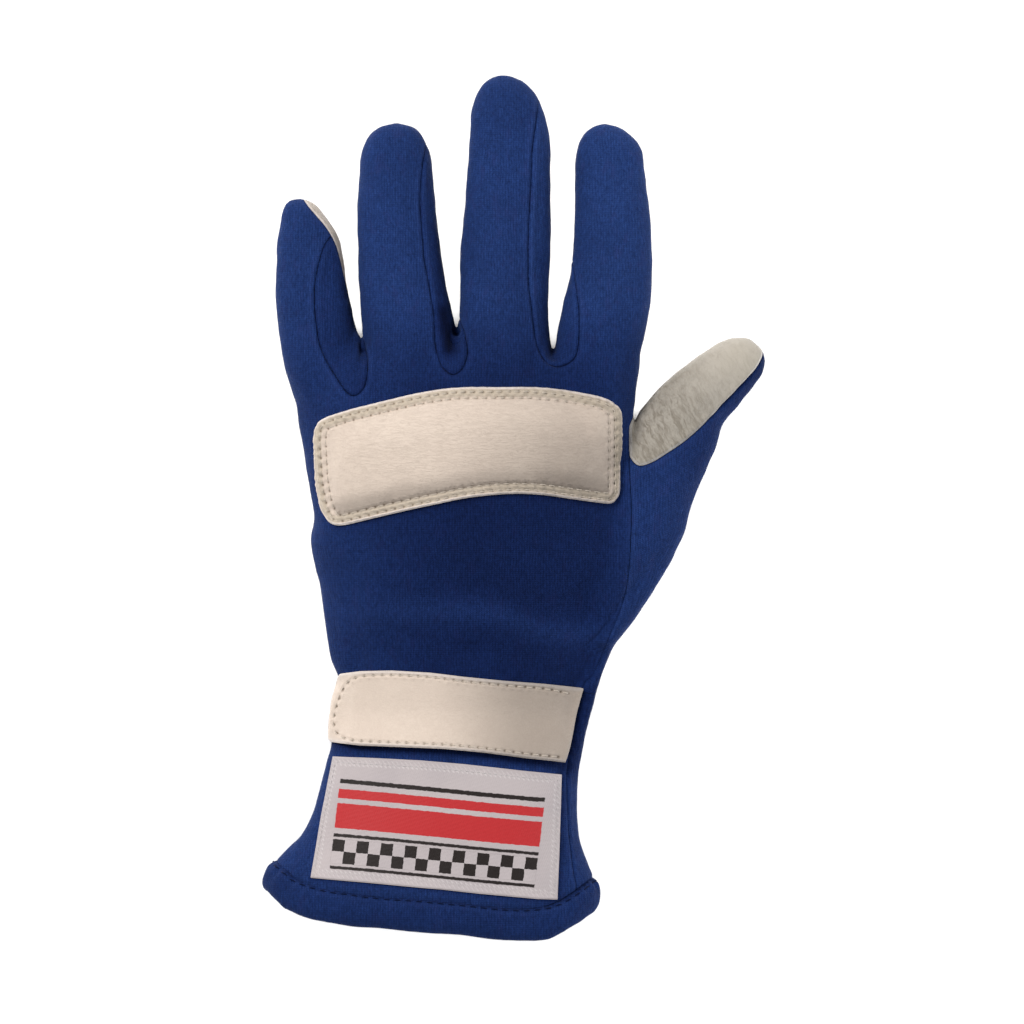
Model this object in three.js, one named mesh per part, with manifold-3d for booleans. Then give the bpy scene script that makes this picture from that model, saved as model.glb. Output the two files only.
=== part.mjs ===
// A driving glove for the left hand, lying palm down: knit back, leather palm,
// knit strips between the fingers, a padded knuckle patch, a wrist strap, a
// woven label and a turned hem round the flared cuff.
//
// Millimetres, +Z up. The glove lies on z = 0 with its back up, the fingers
// point along +Y and the thumb is on the +X side. The origin is under the
// centre of its box.
import * as THREE from "three";
import { LoftGeometry } from "three/addons/geometries/LoftGeometry.js";
import { mergeVertices } from "three/addons/utils/BufferGeometryUtils.js";
import Module from "manifold-3d";

const wasm = await Module();
wasm.setup();

// ---------------------------------------------------------------- sizes, mm
const WALL = 2.0; // knit with its lining, and leather with its lining
const GAP = 0.3; // left between neighbouring pieces
const SEAM_BELOW_MID = 2.0; // side seams run this far under the widest line
const HEM_PROUD = 0.6; // the turned hem stands out of the cuff
const HEM_WALL = 3.0;
const WRIST_Y = -60; // leather palm ends here, the cuff begins
const THUMB_MID_Z = 10.5;
const PAD_EDGE = 1.5; // leather round the knuckle pad
const PAD_CROWN = 4.4; // over the foam
const PAD_MARGIN = 4.6; // sewn border round the foam
const STRAP_THICK = 2.2;
const LABEL_THICK = 0.9;
const HAND_SIDES = 28; // facets round the hand outside, and fewer inside
const HAND_SIDES_IN = 20;
const FINGER_SIDES = 12;
const FINGER_SIDES_IN = 10;
const THUMB_SIDES = 14;
const THUMB_SIDES_IN = 10;
const SEAM_STEP = 9; // grid of the side seam surface

// ---------------------------------------------------------------- sections
// Each row is one section across the piece: its left and right edge from
// above, and the heights of its top, widest line and underside.
// lift raises the palm seam at the right edge, where the little finger rolls.
const FINGERS = {
  little: {
    tip: 4, // rows that make the rounded end
    n: 2.1,
    rows: [
      { y: 98.3, left: -70.6, right: -67.4, top: 10.0, mid: 8.4, bot: 6.6, lift: 3 },
      { y: 95.7, left: -73.8, right: -62.7, top: 13.9, mid: 8.4, bot: 2.6, lift: 7.5 },
      { y: 93.4, left: -74.6, right: -60.8, top: 15.2, mid: 8.4, bot: 1.2, lift: 8.5 },
      { y: 89.6, left: -75.0, right: -58.1, top: 16.6, mid: 8.5, bot: 0.0, lift: 8.6 },
      { y: 84.5, left: -76.0, right: -55.7, top: 17.6, mid: 9.0, bot: -0.4, lift: 7.3 },
      { y: 78.1, left: -76.2, right: -54.6, top: 18.6, mid: 9.6, bot: -0.2, lift: 4.2 },
      { y: 68.8, left: -76.5, right: -53.3, top: 20.0, mid: 10.4, bot: 0.8, lift: 2 },
      { y: 59.5, left: -75.8, right: -51.2, top: 21.2, mid: 11.2, bot: 2.0, lift: 1 },
      { y: 42.9, left: -73.0, right: -47.4, top: 24.0, mid: 12.6, bot: 2.4, lift: 0 },
      { y: 33.9, left: -70.1, right: -46.1, top: 25.6, mid: 13.0, bot: 1.6, lift: 0 },
      { y: 20.0, left: -65.6, right: -45.4, top: 26.8, mid: 13.6, bot: 2.0, lift: 0 },
      { y: 0.0, left: -59.0, right: -45.0, top: 24.0, mid: 14.0, bot: 7.0, lift: 0 },
    ],
  },
  ring: {
    tip: 4,
    n: 2.15,
    rows: [
      { y: 122.6, left: -39.8, right: -35.8, top: 10.8, mid: 9.0, bot: 7.0 },
      { y: 119.7, left: -45.8, right: -30.1, top: 15.4, mid: 9.0, bot: 2.0 },
      { y: 116.5, left: -47.7, right: -28.2, top: 17.0, mid: 9.2, bot: 0.2 },
      { y: 112.0, left: -49.1, right: -26.7, top: 18.3, mid: 9.6, bot: -0.5 },
      { y: 103.0, left: -49.8, right: -25.8, top: 19.8, mid: 10.4, bot: -0.2 },
      { y: 93.4, left: -50.2, right: -24.8, top: 21.2, mid: 11.4, bot: 1.0 },
      { y: 81.9, left: -49.9, right: -23.5, top: 23.2, mid: 12.8, bot: 2.6 },
      { y: 62.7, left: -49.0, right: -19.8, top: 26.8, mid: 14.8, bot: 4.4 },
      { y: 42.9, left: -46.7, right: -16.3, top: 30.4, mid: 15.2, bot: 3.6 },
      { y: 32.0, left: -45.6, right: -15.7, top: 31.8, mid: 15.0, bot: 2.4 },
      { y: 18.0, left: -44.4, right: -16.2, top: 32.4, mid: 15.0, bot: 1.0 },
    ],
  },
  middle: {
    tip: 4,
    n: 2.15,
    rows: [
      { y: 138.0, left: -5.2, right: -1.2, top: 11.4, mid: 9.6, bot: 7.6 },
      { y: 134.4, left: -10.6, right: 4.8, top: 16.0, mid: 9.6, bot: 2.2 },
      { y: 130.6, left: -12.6, right: 7.8, top: 17.8, mid: 9.7, bot: 0.2 },
      { y: 125.4, left: -13.8, right: 9.9, top: 19.2, mid: 10.0, bot: -0.5 },
      { y: 118.4, left: -14.2, right: 11.4, top: 20.2, mid: 10.6, bot: -0.4 },
      { y: 96.0, left: -15.8, right: 11.7, top: 23.4, mid: 12.8, bot: 2.4 },
      { y: 81.9, left: -17.0, right: 11.7, top: 25.8, mid: 14.2, bot: 3.8 },
      { y: 69.1, left: -17.4, right: 11.0, top: 28.0, mid: 15.2, bot: 4.6 },
      { y: 49.3, left: -18.4, right: 12.2, top: 31.4, mid: 15.6, bot: 4.0 },
      { y: 36.5, left: -18.2, right: 12.5, top: 33.2, mid: 15.2, bot: 2.6 },
      { y: 18.0, left: -17.6, right: 12.2, top: 34.0, mid: 15.0, bot: 1.0 },
    ],
  },
  index: {
    tip: 4,
    n: 2.15,
    rows: [
      { y: 122.2, left: 26.8, right: 30.6, top: 11.2, mid: 9.4, bot: 7.4 },
      { y: 119.0, left: 22.2, right: 36.5, top: 15.8, mid: 9.4, bot: 2.2 },
      { y: 115.8, left: 20.6, right: 39.4, top: 17.5, mid: 9.5, bot: 0.2 },
      { y: 111.4, left: 19.8, right: 41.6, top: 18.8, mid: 9.8, bot: -0.5 },
      { y: 103.0, left: 19.5, right: 42.4, top: 20.2, mid: 10.6, bot: -0.2 },
      { y: 93.4, left: 19.5, right: 43.5, top: 21.8, mid: 11.6, bot: 1.0 },
      { y: 81.9, left: 18.9, right: 44.0, top: 23.8, mid: 13.0, bot: 2.6 },
      { y: 61.4, left: 14.7, right: 43.0, top: 27.4, mid: 14.8, bot: 4.2 },
      { y: 42.9, left: 11.5, right: 39.8, top: 30.0, mid: 15.0, bot: 3.2 },
      { y: 33.3, left: 11.2, right: 38.2, top: 31.0, mid: 14.8, bot: 2.2 },
      { y: 18.0, left: 11.8, right: 36.9, top: 31.2, mid: 14.6, bot: 2.0 },
      { y: 0.0, left: 14.0, right: 31.0, top: 26.0, mid: 14.4, bot: 7.0 },
    ],
  },
};

// The thumb's sections lie across its own slanting line, so both ends of each
// are given.
const THUMB = {
  tip: 4,
  n: 2.1,
  rows: [
    { lx: 76.0, ly: 52.4, rx: 78.4, ry: 50.0, top: 11.4, mid: 9.4, bot: 7.4 },
    { lx: 73.6, ly: 53.2, rx: 79.8, ry: 46.6, top: 14.6, mid: 9.4, bot: 3.8 },
    { lx: 69.8, ly: 52.9, rx: 79.5, ry: 42.9, top: 17.0, mid: 9.6, bot: 1.4 },
    { lx: 64.6, ly: 50.9, rx: 76.3, ry: 37.6, top: 18.8, mid: 10.0, bot: 0.0 },
    { lx: 58.6, ly: 46.8, rx: 71.4, ry: 32.3, top: 20.2, mid: 10.4, bot: -0.5 },
    { lx: 52.5, ly: 42.1, rx: 66.6, ry: 26.3, top: 21.4, mid: 10.8, bot: -0.3 },
    { lx: 46.8, ly: 36.9, rx: 64.7, ry: 19.9, top: 22.8, mid: 11.2, bot: 0.0 },
    { lx: 41.8, ly: 31.3, rx: 61.8, ry: 13.4, top: 24.2, mid: 11.6, bot: 0.0 },
    { lx: 37.6, ly: 26.4, rx: 58.9, ry: 6.4, top: 25.4, mid: 12.0, bot: -0.3 },
    { lx: 33.0, ly: 19.6, rx: 56.4, ry: -0.6, top: 26.4, mid: 12.4, bot: -0.5 },
    { lx: 29.0, ly: 8.4, rx: 54.4, ry: -8.6, top: 27.4, mid: 12.8, bot: -0.5 },
    { lx: 26.4, ly: -6.0, rx: 49.4, ry: -19.5, top: 28.4, mid: 13.4, bot: -0.5 },
    { lx: 23.0, ly: -20.5, rx: 43.4, ry: -29.4, top: 29.4, mid: 14.4, bot: 0.2 },
    { lx: 20.0, ly: -36.5, rx: 34.8, ry: -41.3, top: 30.0, mid: 16.0, bot: 1.6 },
    { lx: 14.0, ly: -49.0, rx: 25.6, ry: -50.0, top: 27.0, mid: 17.0, bot: 8.0 },
  ],
};

// The hand and cuff, from the hem's fold to the webs between the fingers.
// hem is the share of the hem line's dip, crown moves the middle of the
// section towards the fingers.
const HAND = [
  { y: -111.0, left: -74.2, right: 22.1, top: 41.6, mid: 19.6, bot: -0.5, hem: 0.97, crown: 0 },
  { y: -106.9, left: -69.8, right: 21.1, top: 40.8, mid: 19.4, bot: -0.2, hem: 0.85, crown: 0 },
  { y: -102.4, left: -66.6, right: 20.6, top: 40.0, mid: 19.2, bot: 0.4, hem: 0.7, crown: 0 },
  { y: -96.6, left: -64.3, right: 20.2, top: 39.2, mid: 19.0, bot: 1.2, hem: 0.5, crown: 0 },
  { y: -84.5, left: -60.5, right: 20.5, top: 37.6, mid: 18.6, bot: 2.8, hem: 0.12, crown: 0 },
  { y: -78.1, left: -59.4, right: 21.8, top: 36.9, mid: 18.4, bot: 3.6, hem: 0, crown: 0 },
  { y: -70.0, left: -58.2, right: 23.6, top: 36.3, mid: 18.0, bot: 4.2, hem: 0, crown: 0 },
  { y: -61.5, left: -57.4, right: 25.4, top: 35.9, mid: 17.4, bot: 3.8, hem: 0, crown: 0 },
  { y: -53.5, left: -57.6, right: 27.0, top: 35.7, mid: 16.6, bot: 2.6, hem: 0, crown: 0 },
  { y: -36.0, left: -60.6, right: 32.4, top: 36.8, mid: 15.2, bot: -0.3, hem: 0, crown: 0 },
  { y: -27.0, left: -61.8, right: 35.0, top: 37.0, mid: 14.8, bot: -0.8, hem: 0, crown: 0 },
  { y: -18.0, left: -64.0, right: 36.6, top: 37.0, mid: 14.4, bot: -1.0, hem: 0, crown: 0 },
  { y: -11.0, left: -64.9, right: 37.1, top: 36.9, mid: 14.2, bot: -1.0, hem: 0, crown: 0 },
  { y: -4.0, left: -64.3, right: 37.3, top: 36.8, mid: 14.0, bot: -1.0, hem: 0, crown: 0 },
  { y: 14.0, left: -68.0, right: 37.4, top: 36.4, mid: 14.0, bot: -1.0, hem: 0, crown: 0 },
  { y: 23.0, left: -68.5, right: 37.7, top: 35.8, mid: 14.0, bot: -0.8, hem: 0, crown: 0.6 },
  { y: 30.5, left: -69.4, right: 38.1, top: 33.8, mid: 14.0, bot: 0.2, hem: 0, crown: 3.0 },
  { y: 35.5, left: -69.8, right: 38.3, top: 31.0, mid: 14.2, bot: 2.4, hem: 0, crown: 6.6 },
  { y: 39.0, left: -70.0, right: 38.2, top: 27.6, mid: 14.4, bot: 4.8, hem: 0, crown: 10.2 },
  { y: 43.0, left: -66.0, right: 35.0, top: 19.4, mid: 14.7, bot: 10.6, hem: 0, crown: 14.6 },
  { y: 43.4, left: -62.0, right: 31.0, top: 16.2, mid: 14.8, bot: 13.2, hem: 0, crown: 15.0 },
];
const HAND_N = 2.35;

// The turned hem round the mouth: two rings of the same line, its fold last.
const HEM = [
  { y: -111.3, left: -74.5, right: 22.2, top: 41.7, mid: 19.6, bot: -0.5, hem: 0.97, crown: 0 },
  { y: -113.8, left: -76.8, right: 23.4, top: 42.3, mid: 19.8, bot: -0.5, hem: 1, crown: 0 },
  { y: -117.6, left: -79.0, right: 26.0, top: 42.8, mid: 20.0, bot: -0.5, hem: 1, crown: 0 },
  { y: -119.8, left: -79.6, right: 27.0, top: 42.8, mid: 20.0, bot: -0.5, hem: 1, crown: 0 },
  { y: -121.2, left: -79.4, right: 26.8, top: 42.4, mid: 20.0, bot: -0.2, hem: 1, crown: 0 },
];
const HEM_N = 2.2;

// How far the mouth's edge dips towards -Y across the cuff, from its left edge
// (-1) to its right edge (1).
const HEM_LINE = [
  { across: -1, dip: 0 },
  { across: -0.93, dip: 4.5 },
  { across: -0.8, dip: 8.3 },
  { across: -0.69, dip: 10.8 },
  { across: -0.58, dip: 12.1 },
  { across: -0.39, dip: 13.2 },
  { across: 0.04, dip: 15.1 },
  { across: 0.28, dip: 16.8 },
  { across: 0.5, dip: 17.7 },
  { across: 0.7, dip: 16.6 },
  { across: 0.84, dip: 13.4 },
  { across: 0.93, dip: 9.4 },
  { across: 1, dip: 5.2 },
];

// The seam between back and side: from the thumb's fork along the hand, under
// the strap's sewn end and down the cuff.
const SIDE_SEAM = [
  { x: 38.6, y: 34.0 },
  { x: 37.2, y: 28.0 },
  { x: 36.9, y: 12.8 },
  { x: 37.6, y: -1.0 },
  { x: 37.3, y: -12.5 },
  { x: 36.7, y: -21.6 },
  { x: 35.8, y: -27.2 },
  { x: 33.6, y: -34.8 },
  { x: 30.7, y: -41.6 },
  { x: 25.6, y: -53.6 },
  { x: 22.1, y: -57.8 },
  { x: 19.2, y: -71.7 },
  { x: 17.3, y: -83.5 },
  { x: 17.1, y: -91.8 },
  { x: 17.8, y: -106.0 },
  { x: 19.0, y: -115.4 },
  { x: 20.6, y: -124.0 },
];

// Knit strips between the fingers, as the closed line round each from above:
// down the near finger, round the fork and up the next one.
const FORKS = {
  fork_little_ring: [
    { x: -56.0, y: 90.0 },
    { x: -58.8, y: 86.4 },
    { x: -61.2, y: 83.4 },
    { x: -63.0, y: 75.6 },
    { x: -63.9, y: 70.0 },
    { x: -63.8, y: 62.0 },
    { x: -62.6, y: 53.2 },
    { x: -60.8, y: 48.0 },
    { x: -58.6, y: 44.0 },
    { x: -54.8, y: 37.9 },
    { x: -52.5, y: 35.6 },
    { x: -50.1, y: 35.8 },
    { x: -48.0, y: 38.2 },
    { x: -47.2, y: 43.0 },
    { x: -47.4, y: 50.0 },
    { x: -48.2, y: 58.0 },
    { x: -48.9, y: 70.0 },
    { x: -49.3, y: 84.0 },
    { x: -49.4, y: 98.0 },
    { x: -48.4, y: 112.0 },
    { x: -52.5, y: 113.5 },
  ],
  fork_ring_middle: [
    { x: -25.4, y: 117.8 },
    { x: -27.9, y: 116.0 },
    { x: -29.2, y: 109.0 },
    { x: -29.9, y: 101.8 },
    { x: -29.6, y: 92.2 },
    { x: -29.1, y: 85.1 },
    { x: -28.5, y: 78.7 },
    { x: -27.2, y: 71.9 },
    { x: -25.9, y: 63.7 },
    { x: -25.3, y: 57.3 },
    { x: -25.0, y: 51.2 },
    { x: -24.2, y: 47.4 },
    { x: -22.8, y: 44.4 },
    { x: -19.9, y: 42.2 },
    { x: -17.1, y: 43.4 },
    { x: -15.4, y: 46.7 },
    { x: -15.0, y: 50.0 },
    { x: -16.0, y: 55.0 },
    { x: -17.0, y: 61.0 },
    { x: -16.7, y: 70.0 },
    { x: -16.2, y: 82.0 },
    { x: -15.1, y: 96.0 },
    { x: -14.0, y: 109.6 },
    { x: -13.3, y: 120.0 },
    { x: -12.6, y: 127.0 },
    { x: -17.0, y: 128.5 },
  ],
  fork_middle_index: [
    { x: 11.4, y: 129.5 },
    { x: 7.9, y: 129.4 },
    { x: 7.2, y: 122.2 },
    { x: 6.0, y: 113.9 },
    { x: 5.6, y: 103.0 },
    { x: 5.0, y: 92.5 },
    { x: 4.7, y: 81.6 },
    { x: 4.9, y: 71.0 },
    { x: 5.8, y: 63.7 },
    { x: 7.0, y: 53.8 },
    { x: 8.1, y: 50.2 },
    { x: 9.9, y: 46.6 },
    { x: 12.7, y: 44.9 },
    { x: 16.3, y: 45.2 },
    { x: 19.2, y: 47.4 },
    { x: 20.4, y: 50.9 },
    { x: 20.7, y: 56.6 },
    { x: 20.6, y: 62.0 },
    { x: 20.3, y: 68.0 },
    { x: 19.9, y: 76.0 },
    { x: 19.8, y: 86.0 },
    { x: 20.3, y: 98.0 },
    { x: 20.5, y: 108.0 },
    { x: 21.6, y: 117.6 },
    { x: 18.6, y: 121.5 },
  ],
};

// The thumb's leather as seen from above, and on the underside.
const THUMB_TOP = [
  { x: 36.9, y: 24.0 },
  { x: 36.9, y: 18.0 },
  { x: 37.6, y: 15.0 },
  { x: 39.8, y: 13.2 },
  { x: 43.9, y: 13.9 },
  { x: 49.2, y: 17.1 },
  { x: 54.5, y: 21.3 },
  { x: 59.8, y: 26.1 },
  { x: 65.1, y: 31.4 },
  { x: 71.0, y: 37.8 },
  { x: 75.2, y: 42.6 },
  { x: 77.6, y: 46.4 },
  { x: 78.9, y: 49.6 },
  { x: 84.0, y: 54.0 },
  { x: 70.0, y: 66.0 },
  { x: 50.0, y: 56.0 },
  { x: 40.0, y: 36.0 },
];
// Underneath, the leather ends on this line, from the wrist to the thumb's tip.
const UNDER_EDGE = [
  { x: 20.0, y: -75.0 },
  { x: 22.4, y: -60.0 },
  { x: 25.2, y: -52.0 },
  { x: 29.6, y: -43.6 },
  { x: 35.4, y: -35.0 },
  { x: 41.4, y: -25.6 },
  { x: 46.0, y: -15.0 },
  { x: 48.4, y: -4.0 },
  { x: 49.2, y: 7.6 },
  { x: 51.4, y: 17.6 },
  { x: 56.6, y: 27.2 },
  { x: 64.0, y: 36.4 },
  { x: 72.0, y: 44.6 },
  { x: 79.4, y: 50.6 },
  { x: 88.0, y: 62.0 },
];
// The thumb's leather starts on this one, from its edge back to the fork.
const THUMB_BASE = [
  { x: 50.4, y: 12.2 },
  { x: 47.0, y: 12.6 },
  { x: 41.6, y: 15.6 },
  { x: 38.0, y: 22.0 },
  { x: 36.6, y: 31.0 },
  { x: 34.0, y: 40.0 },
];

// Outlines of the pieces sewn on top, from above.
const KNUCKLE_PAD = [
  { x: -61.5, y: 27.7 },
  { x: -57.0, y: 29.3 },
  { x: -51.4, y: 31.0 },
  { x: -40.4, y: 33.7 },
  { x: -29.4, y: 36.2 },
  { x: -18.4, y: 37.7 },
  { x: -7.4, y: 37.9 },
  { x: 3.0, y: 38.1 },
  { x: 12.0, y: 37.7 },
  { x: 20.7, y: 36.8 },
  { x: 28.1, y: 35.7 },
  { x: 32.1, y: 34.0 },
  { x: 34.1, y: 31.7 },
  { x: 34.4, y: 24.5 },
  { x: 34.3, y: 13.1 },
  { x: 34.4, y: 4.5 },
  { x: 33.0, y: 2.0 },
  { x: 31.0, y: 0.7 },
  { x: 26.4, y: 1.1 },
  { x: 17.8, y: 2.3 },
  { x: 9.2, y: 3.5 },
  { x: 0.6, y: 3.9 },
  { x: -7.9, y: 3.4 },
  { x: -16.5, y: 2.3 },
  { x: -25.1, y: 0.5 },
  { x: -34.9, y: -1.6 },
  { x: -45.9, y: -4.2 },
  { x: -54.2, y: -6.2 },
  { x: -58.0, y: -6.1 },
  { x: -60.2, y: -4.3 },
  { x: -61.9, y: -0.4 },
  { x: -63.3, y: 6.7 },
  { x: -63.8, y: 15.0 },
  { x: -64.1, y: 22.1 },
  { x: -63.4, y: 25.6 },
];
const STRAP = [
  { x: -62.5, y: -54.6 },
  { x: -56.4, y: -53.8 },
  { x: -49.0, y: -52.8 },
  { x: -39.1, y: -52.6 },
  { x: -26.7, y: -53.3 },
  { x: -16.3, y: -54.6 },
  { x: -3.2, y: -55.9 },
  { x: 9.9, y: -56.9 },
  { x: 21.9, y: -58.2 },
  { x: 16.4, y: -82.0 },
  { x: 3.4, y: -80.7 },
  { x: -9.7, y: -79.0 },
  { x: -22.8, y: -77.8 },
  { x: -35.8, y: -77.3 },
  { x: -49.0, y: -76.8 },
  { x: -56.7, y: -75.8 },
  { x: -62.5, y: -74.8 },
];
const LABEL = [
  { x: -57.6, y: -80.2 },
  { x: -30.1, y: -81.4 },
  { x: -16.0, y: -82.6 },
  { x: 2.8, y: -84.7 },
  { x: 15.0, y: -85.9 },
  { x: 14.0, y: -123.0 },
  { x: 7.4, y: -124.6 },
  { x: -11.3, y: -124.0 },
  { x: -23.7, y: -122.7 },
  { x: -30.1, y: -122.2 },
  { x: -47.0, y: -120.4 },
  { x: -57.0, y: -118.6 },
  { x: -64.4, y: -116.8 },
];
const STRAP_TAB_Z = 13; // the strap's free end stops here on the side

// ---------------------------------------------------------------- helpers
const clamp01 = (v) => Math.min(1, Math.max(0, v));
const smooth = (a, b, v) => {
  const t = clamp01((v - a) / (b - a));
  return t * t * (3 - 2 * t);
};

// Reads a column of a table at a place along another column.
function along(rows, key, at, column) {
  const up = rows[0][key] <= rows[rows.length - 1][key];
  const list = up ? rows : [...rows].reverse();
  if (at <= list[0][key]) return list[0][column] ?? 0;
  for (let i = 1; i < list.length; i++)
    if (at <= list[i][key]) {
      const a = list[i - 1],
        b = list[i],
        t = (at - a[key]) / (b[key] - a[key]);
      return (a[column] ?? 0) * (1 - t) + (b[column] ?? 0) * t;
    }
  return list[list.length - 1][column] ?? 0;
}

const power = (v, n) => Math.sign(v) * Math.abs(v) ** (2 / n);

// One ring of points across a piece. frame holds its centre, the direction
// from its left to its right edge and half its width.
function ring(frame, sides, n, floor, shift = () => 0) {
  const points = [];
  for (let i = 0; i < sides; i++) {
    const a = ((i + 0.5) / sides) * Math.PI * 2;
    const u = power(Math.cos(a), n);
    const w = power(Math.sin(a), n);
    const z = frame.mid + w * (w > 0 ? frame.top - frame.mid : frame.mid - frame.bot);
    points.push(
      new THREE.Vector3(
        frame.cx + frame.ex * frame.half * u,
        frame.cy + frame.ey * frame.half * u + shift(u),
        Math.max(z, floor),
      ),
    );
  }
  return points;
}

// Six times the volume that the faces close round.
function volume6(position, index) {
  const [a, b, c] = [new THREE.Vector3(), new THREE.Vector3(), new THREE.Vector3()];
  let sum = 0;
  for (let i = 0; i < index.length; i += 3) {
    a.fromArray(position, index[i] * 3);
    b.fromArray(position, index[i + 1] * 3);
    c.fromArray(position, index[i + 2] * 3);
    sum += a.dot(b.cross(c));
  }
  return sum;
}

function solid(geometry) {
  const g = new THREE.BufferGeometry();
  g.setAttribute("position", geometry.getAttribute("position").clone());
  if (geometry.index) g.setIndex(geometry.index.clone());
  const merged = mergeVertices(g, 1e-4);
  const faces = [];
  for (let i = 0; i < merged.index.count; i += 3) {
    const [a, b, c] = [0, 1, 2].map((k) => merged.index.getX(i + k));
    if (a !== b && b !== c && c !== a) faces.push(a, b, c);
  }
  const vertProperties = new Float32Array(merged.attributes.position.array);
  if (volume6(vertProperties, faces) < 0) faces.reverse();
  const triVerts = new Uint32Array(faces);
  return new wasm.Manifold(new wasm.Mesh({ numProp: 3, vertProperties, triVerts }));
}

// Skins the rings and closes each end on its middle point.
function loft(rings, up = 0) {
  const middle = (r) =>
    r.map(() => r.reduce((s, p) => s.add(p), new THREE.Vector3()).divideScalar(r.length));
  const g = new LoftGeometry([middle(rings[0]), ...rings, middle(rings[rings.length - 1])]);
  return solid(g.translate(0, 0, up));
}

const shifted = (r, step) => r.map((p) => new THREE.Vector3(p.x, p.y + step, p.z));

// A finger or the thumb, taken in by inset (grown if it is negative).
function digit(shape, inset, sides, step = 1, up = 0) {
  const rows = shape.rows.map((r) => {
    const lx = r.lx ?? r.left,
      ly = r.ly ?? r.y,
      rx = r.rx ?? r.right,
      ry = r.ry ?? r.y;
    const width = Math.hypot(rx - lx, ry - ly);
    return {
      cx: (lx + rx) / 2,
      cy: (ly + ry) / 2,
      ex: (rx - lx) / width,
      ey: (ry - ly) / width,
      half: width / 2,
      top: r.top,
      mid: r.mid,
      bot: r.bot,
    };
  });
  const root = rows[shape.tip];
  const out = rows.map((f, i) => {
    if (i >= shape.tip)
      return {
        ...f,
        half: f.half - inset,
        top: f.top - inset,
        bot: f.bot + inset,
      };
    // The rounded end shrinks towards its own centre.
    const k = (root.half - inset) / root.half;
    const kt = (root.top - root.mid - inset) / (root.top - root.mid);
    const kb = (root.mid - root.bot - inset) / (root.mid - root.bot);
    return {
      ...f,
      cx: root.cx + (f.cx - root.cx) * k,
      cy: root.cy + (f.cy - root.cy) * k,
      half: f.half * k,
      top: f.mid + (f.top - f.mid) * kt,
      bot: f.mid - (f.mid - f.bot) * kb,
    };
  });
  return loft(
    out
      .filter((f, i) => i === 0 || i === out.length - 1 || i % step === 0)
      .map((f) => ring(f, sides, shape.n, Math.max(0, inset))),
    up,
  );
}

function handRings(table, inset, sides, n) {
  return table.map((r) => {
    // Near the webs the inside also stops short of the outside.
    const back = inset > 0 ? inset * smooth(0, 15, r.crown) : 0;
    const f = {
      cx: (r.left + r.right) / 2,
      cy: r.y - back,
      ex: 1,
      ey: 0,
      half: Math.max(0.8, (r.right - r.left) / 2 - inset),
      top: Math.max(r.mid + 0.35, r.top - inset),
      mid: r.mid,
      bot: Math.min(r.mid - 0.35, r.bot + inset),
    };
    return ring(f, sides, n, Math.max(0, inset), (u) =>
      r.crown * (1 - u * u) - r.hem * along(HEM_LINE, "across", u, "dip"));
  });
}

// The whole hand form with all its fingers, grown by over and raised by up.
function outer(over = 0, up = 0) {
  let all = loft(handRings(HAND, -over, HAND_SIDES, HAND_N), up);
  for (const f of Object.values(FINGERS))
    all = all.add(digit(f, -over, FINGER_SIDES, 1, up));
  return all.add(digit(THUMB, -over, THUMB_SIDES, 1, up));
}

// The hollow in it, open at the cuff.
function hollow() {
  const rings = handRings(HAND, WALL, HAND_SIDES_IN, HAND_N);
  const few = rings.filter((r, i) => HAND[i].crown > 1 || i % 2 === 0);
  let all = loft([shifted(few[0], -8), ...few]);
  for (const f of Object.values(FINGERS)) all = all.add(digit(f, WALL, FINGER_SIDES_IN, 2));
  return all.add(digit(THUMB, WALL, THUMB_SIDES_IN, 2));
}

// Offsets a closed line outwards by d. Points that would come nearer to the
// line than d are left out.
function grown(line, d) {
  const next = (i) => line[(i + 1) % line.length];
  const last = (i) => line[(i + line.length - 1) % line.length];
  let area = 0;
  line.forEach((p, i) => (area += p.x * next(i).y - next(i).x * p.y));
  const moved = line.map((p, i) => {
    const a = new THREE.Vector2(p.y - last(i).y, last(i).x - p.x).normalize();
    const b = new THREE.Vector2(next(i).y - p.y, p.x - next(i).x).normalize();
    const n = a.add(b);
    const k = (2 * d * Math.sign(area)) / Math.max(1.6, n.lengthSq());
    return { x: p.x + n.x * k, y: p.y + n.y * k };
  });
  const away = (q) =>
    Math.min(
      ...line.map((p, i) => {
        const e = next(i),
          ex = e.x - p.x,
          ey = e.y - p.y;
        const t = clamp01(((q.x - p.x) * ex + (q.y - p.y) * ey) / (ex * ex + ey * ey));
        return Math.hypot(q.x - p.x - ex * t, q.y - p.y - ey * t);
      }),
    );
  const kept = [];
  for (const q of moved) {
    const p = kept[kept.length - 1];
    if (away(q) > Math.abs(d) * 0.96 && !(p && Math.hypot(q.x - p.x, q.y - p.y) < 0.3 * Math.abs(d)))
      kept.push(q);
  }
  return kept;
}

function prism(line, z0 = -20, z1 = 80) {
  const shape = new THREE.Shape(line.map((p) => new THREE.Vector2(p.x, p.y)));
  const g = new THREE.ExtrudeGeometry(shape, { depth: z1 - z0, bevelEnabled: false });
  g.translate(0, 0, z0);
  return solid(g);
}

const block = (x0, y0, z0, x1, y1, z1) => {
  const g = new THREE.BoxGeometry(x1 - x0, y1 - y0, z1 - z0);
  g.translate((x0 + x1) / 2, (y0 + y1) / 2, (z0 + z1) / 2);
  return solid(g);
};

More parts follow.
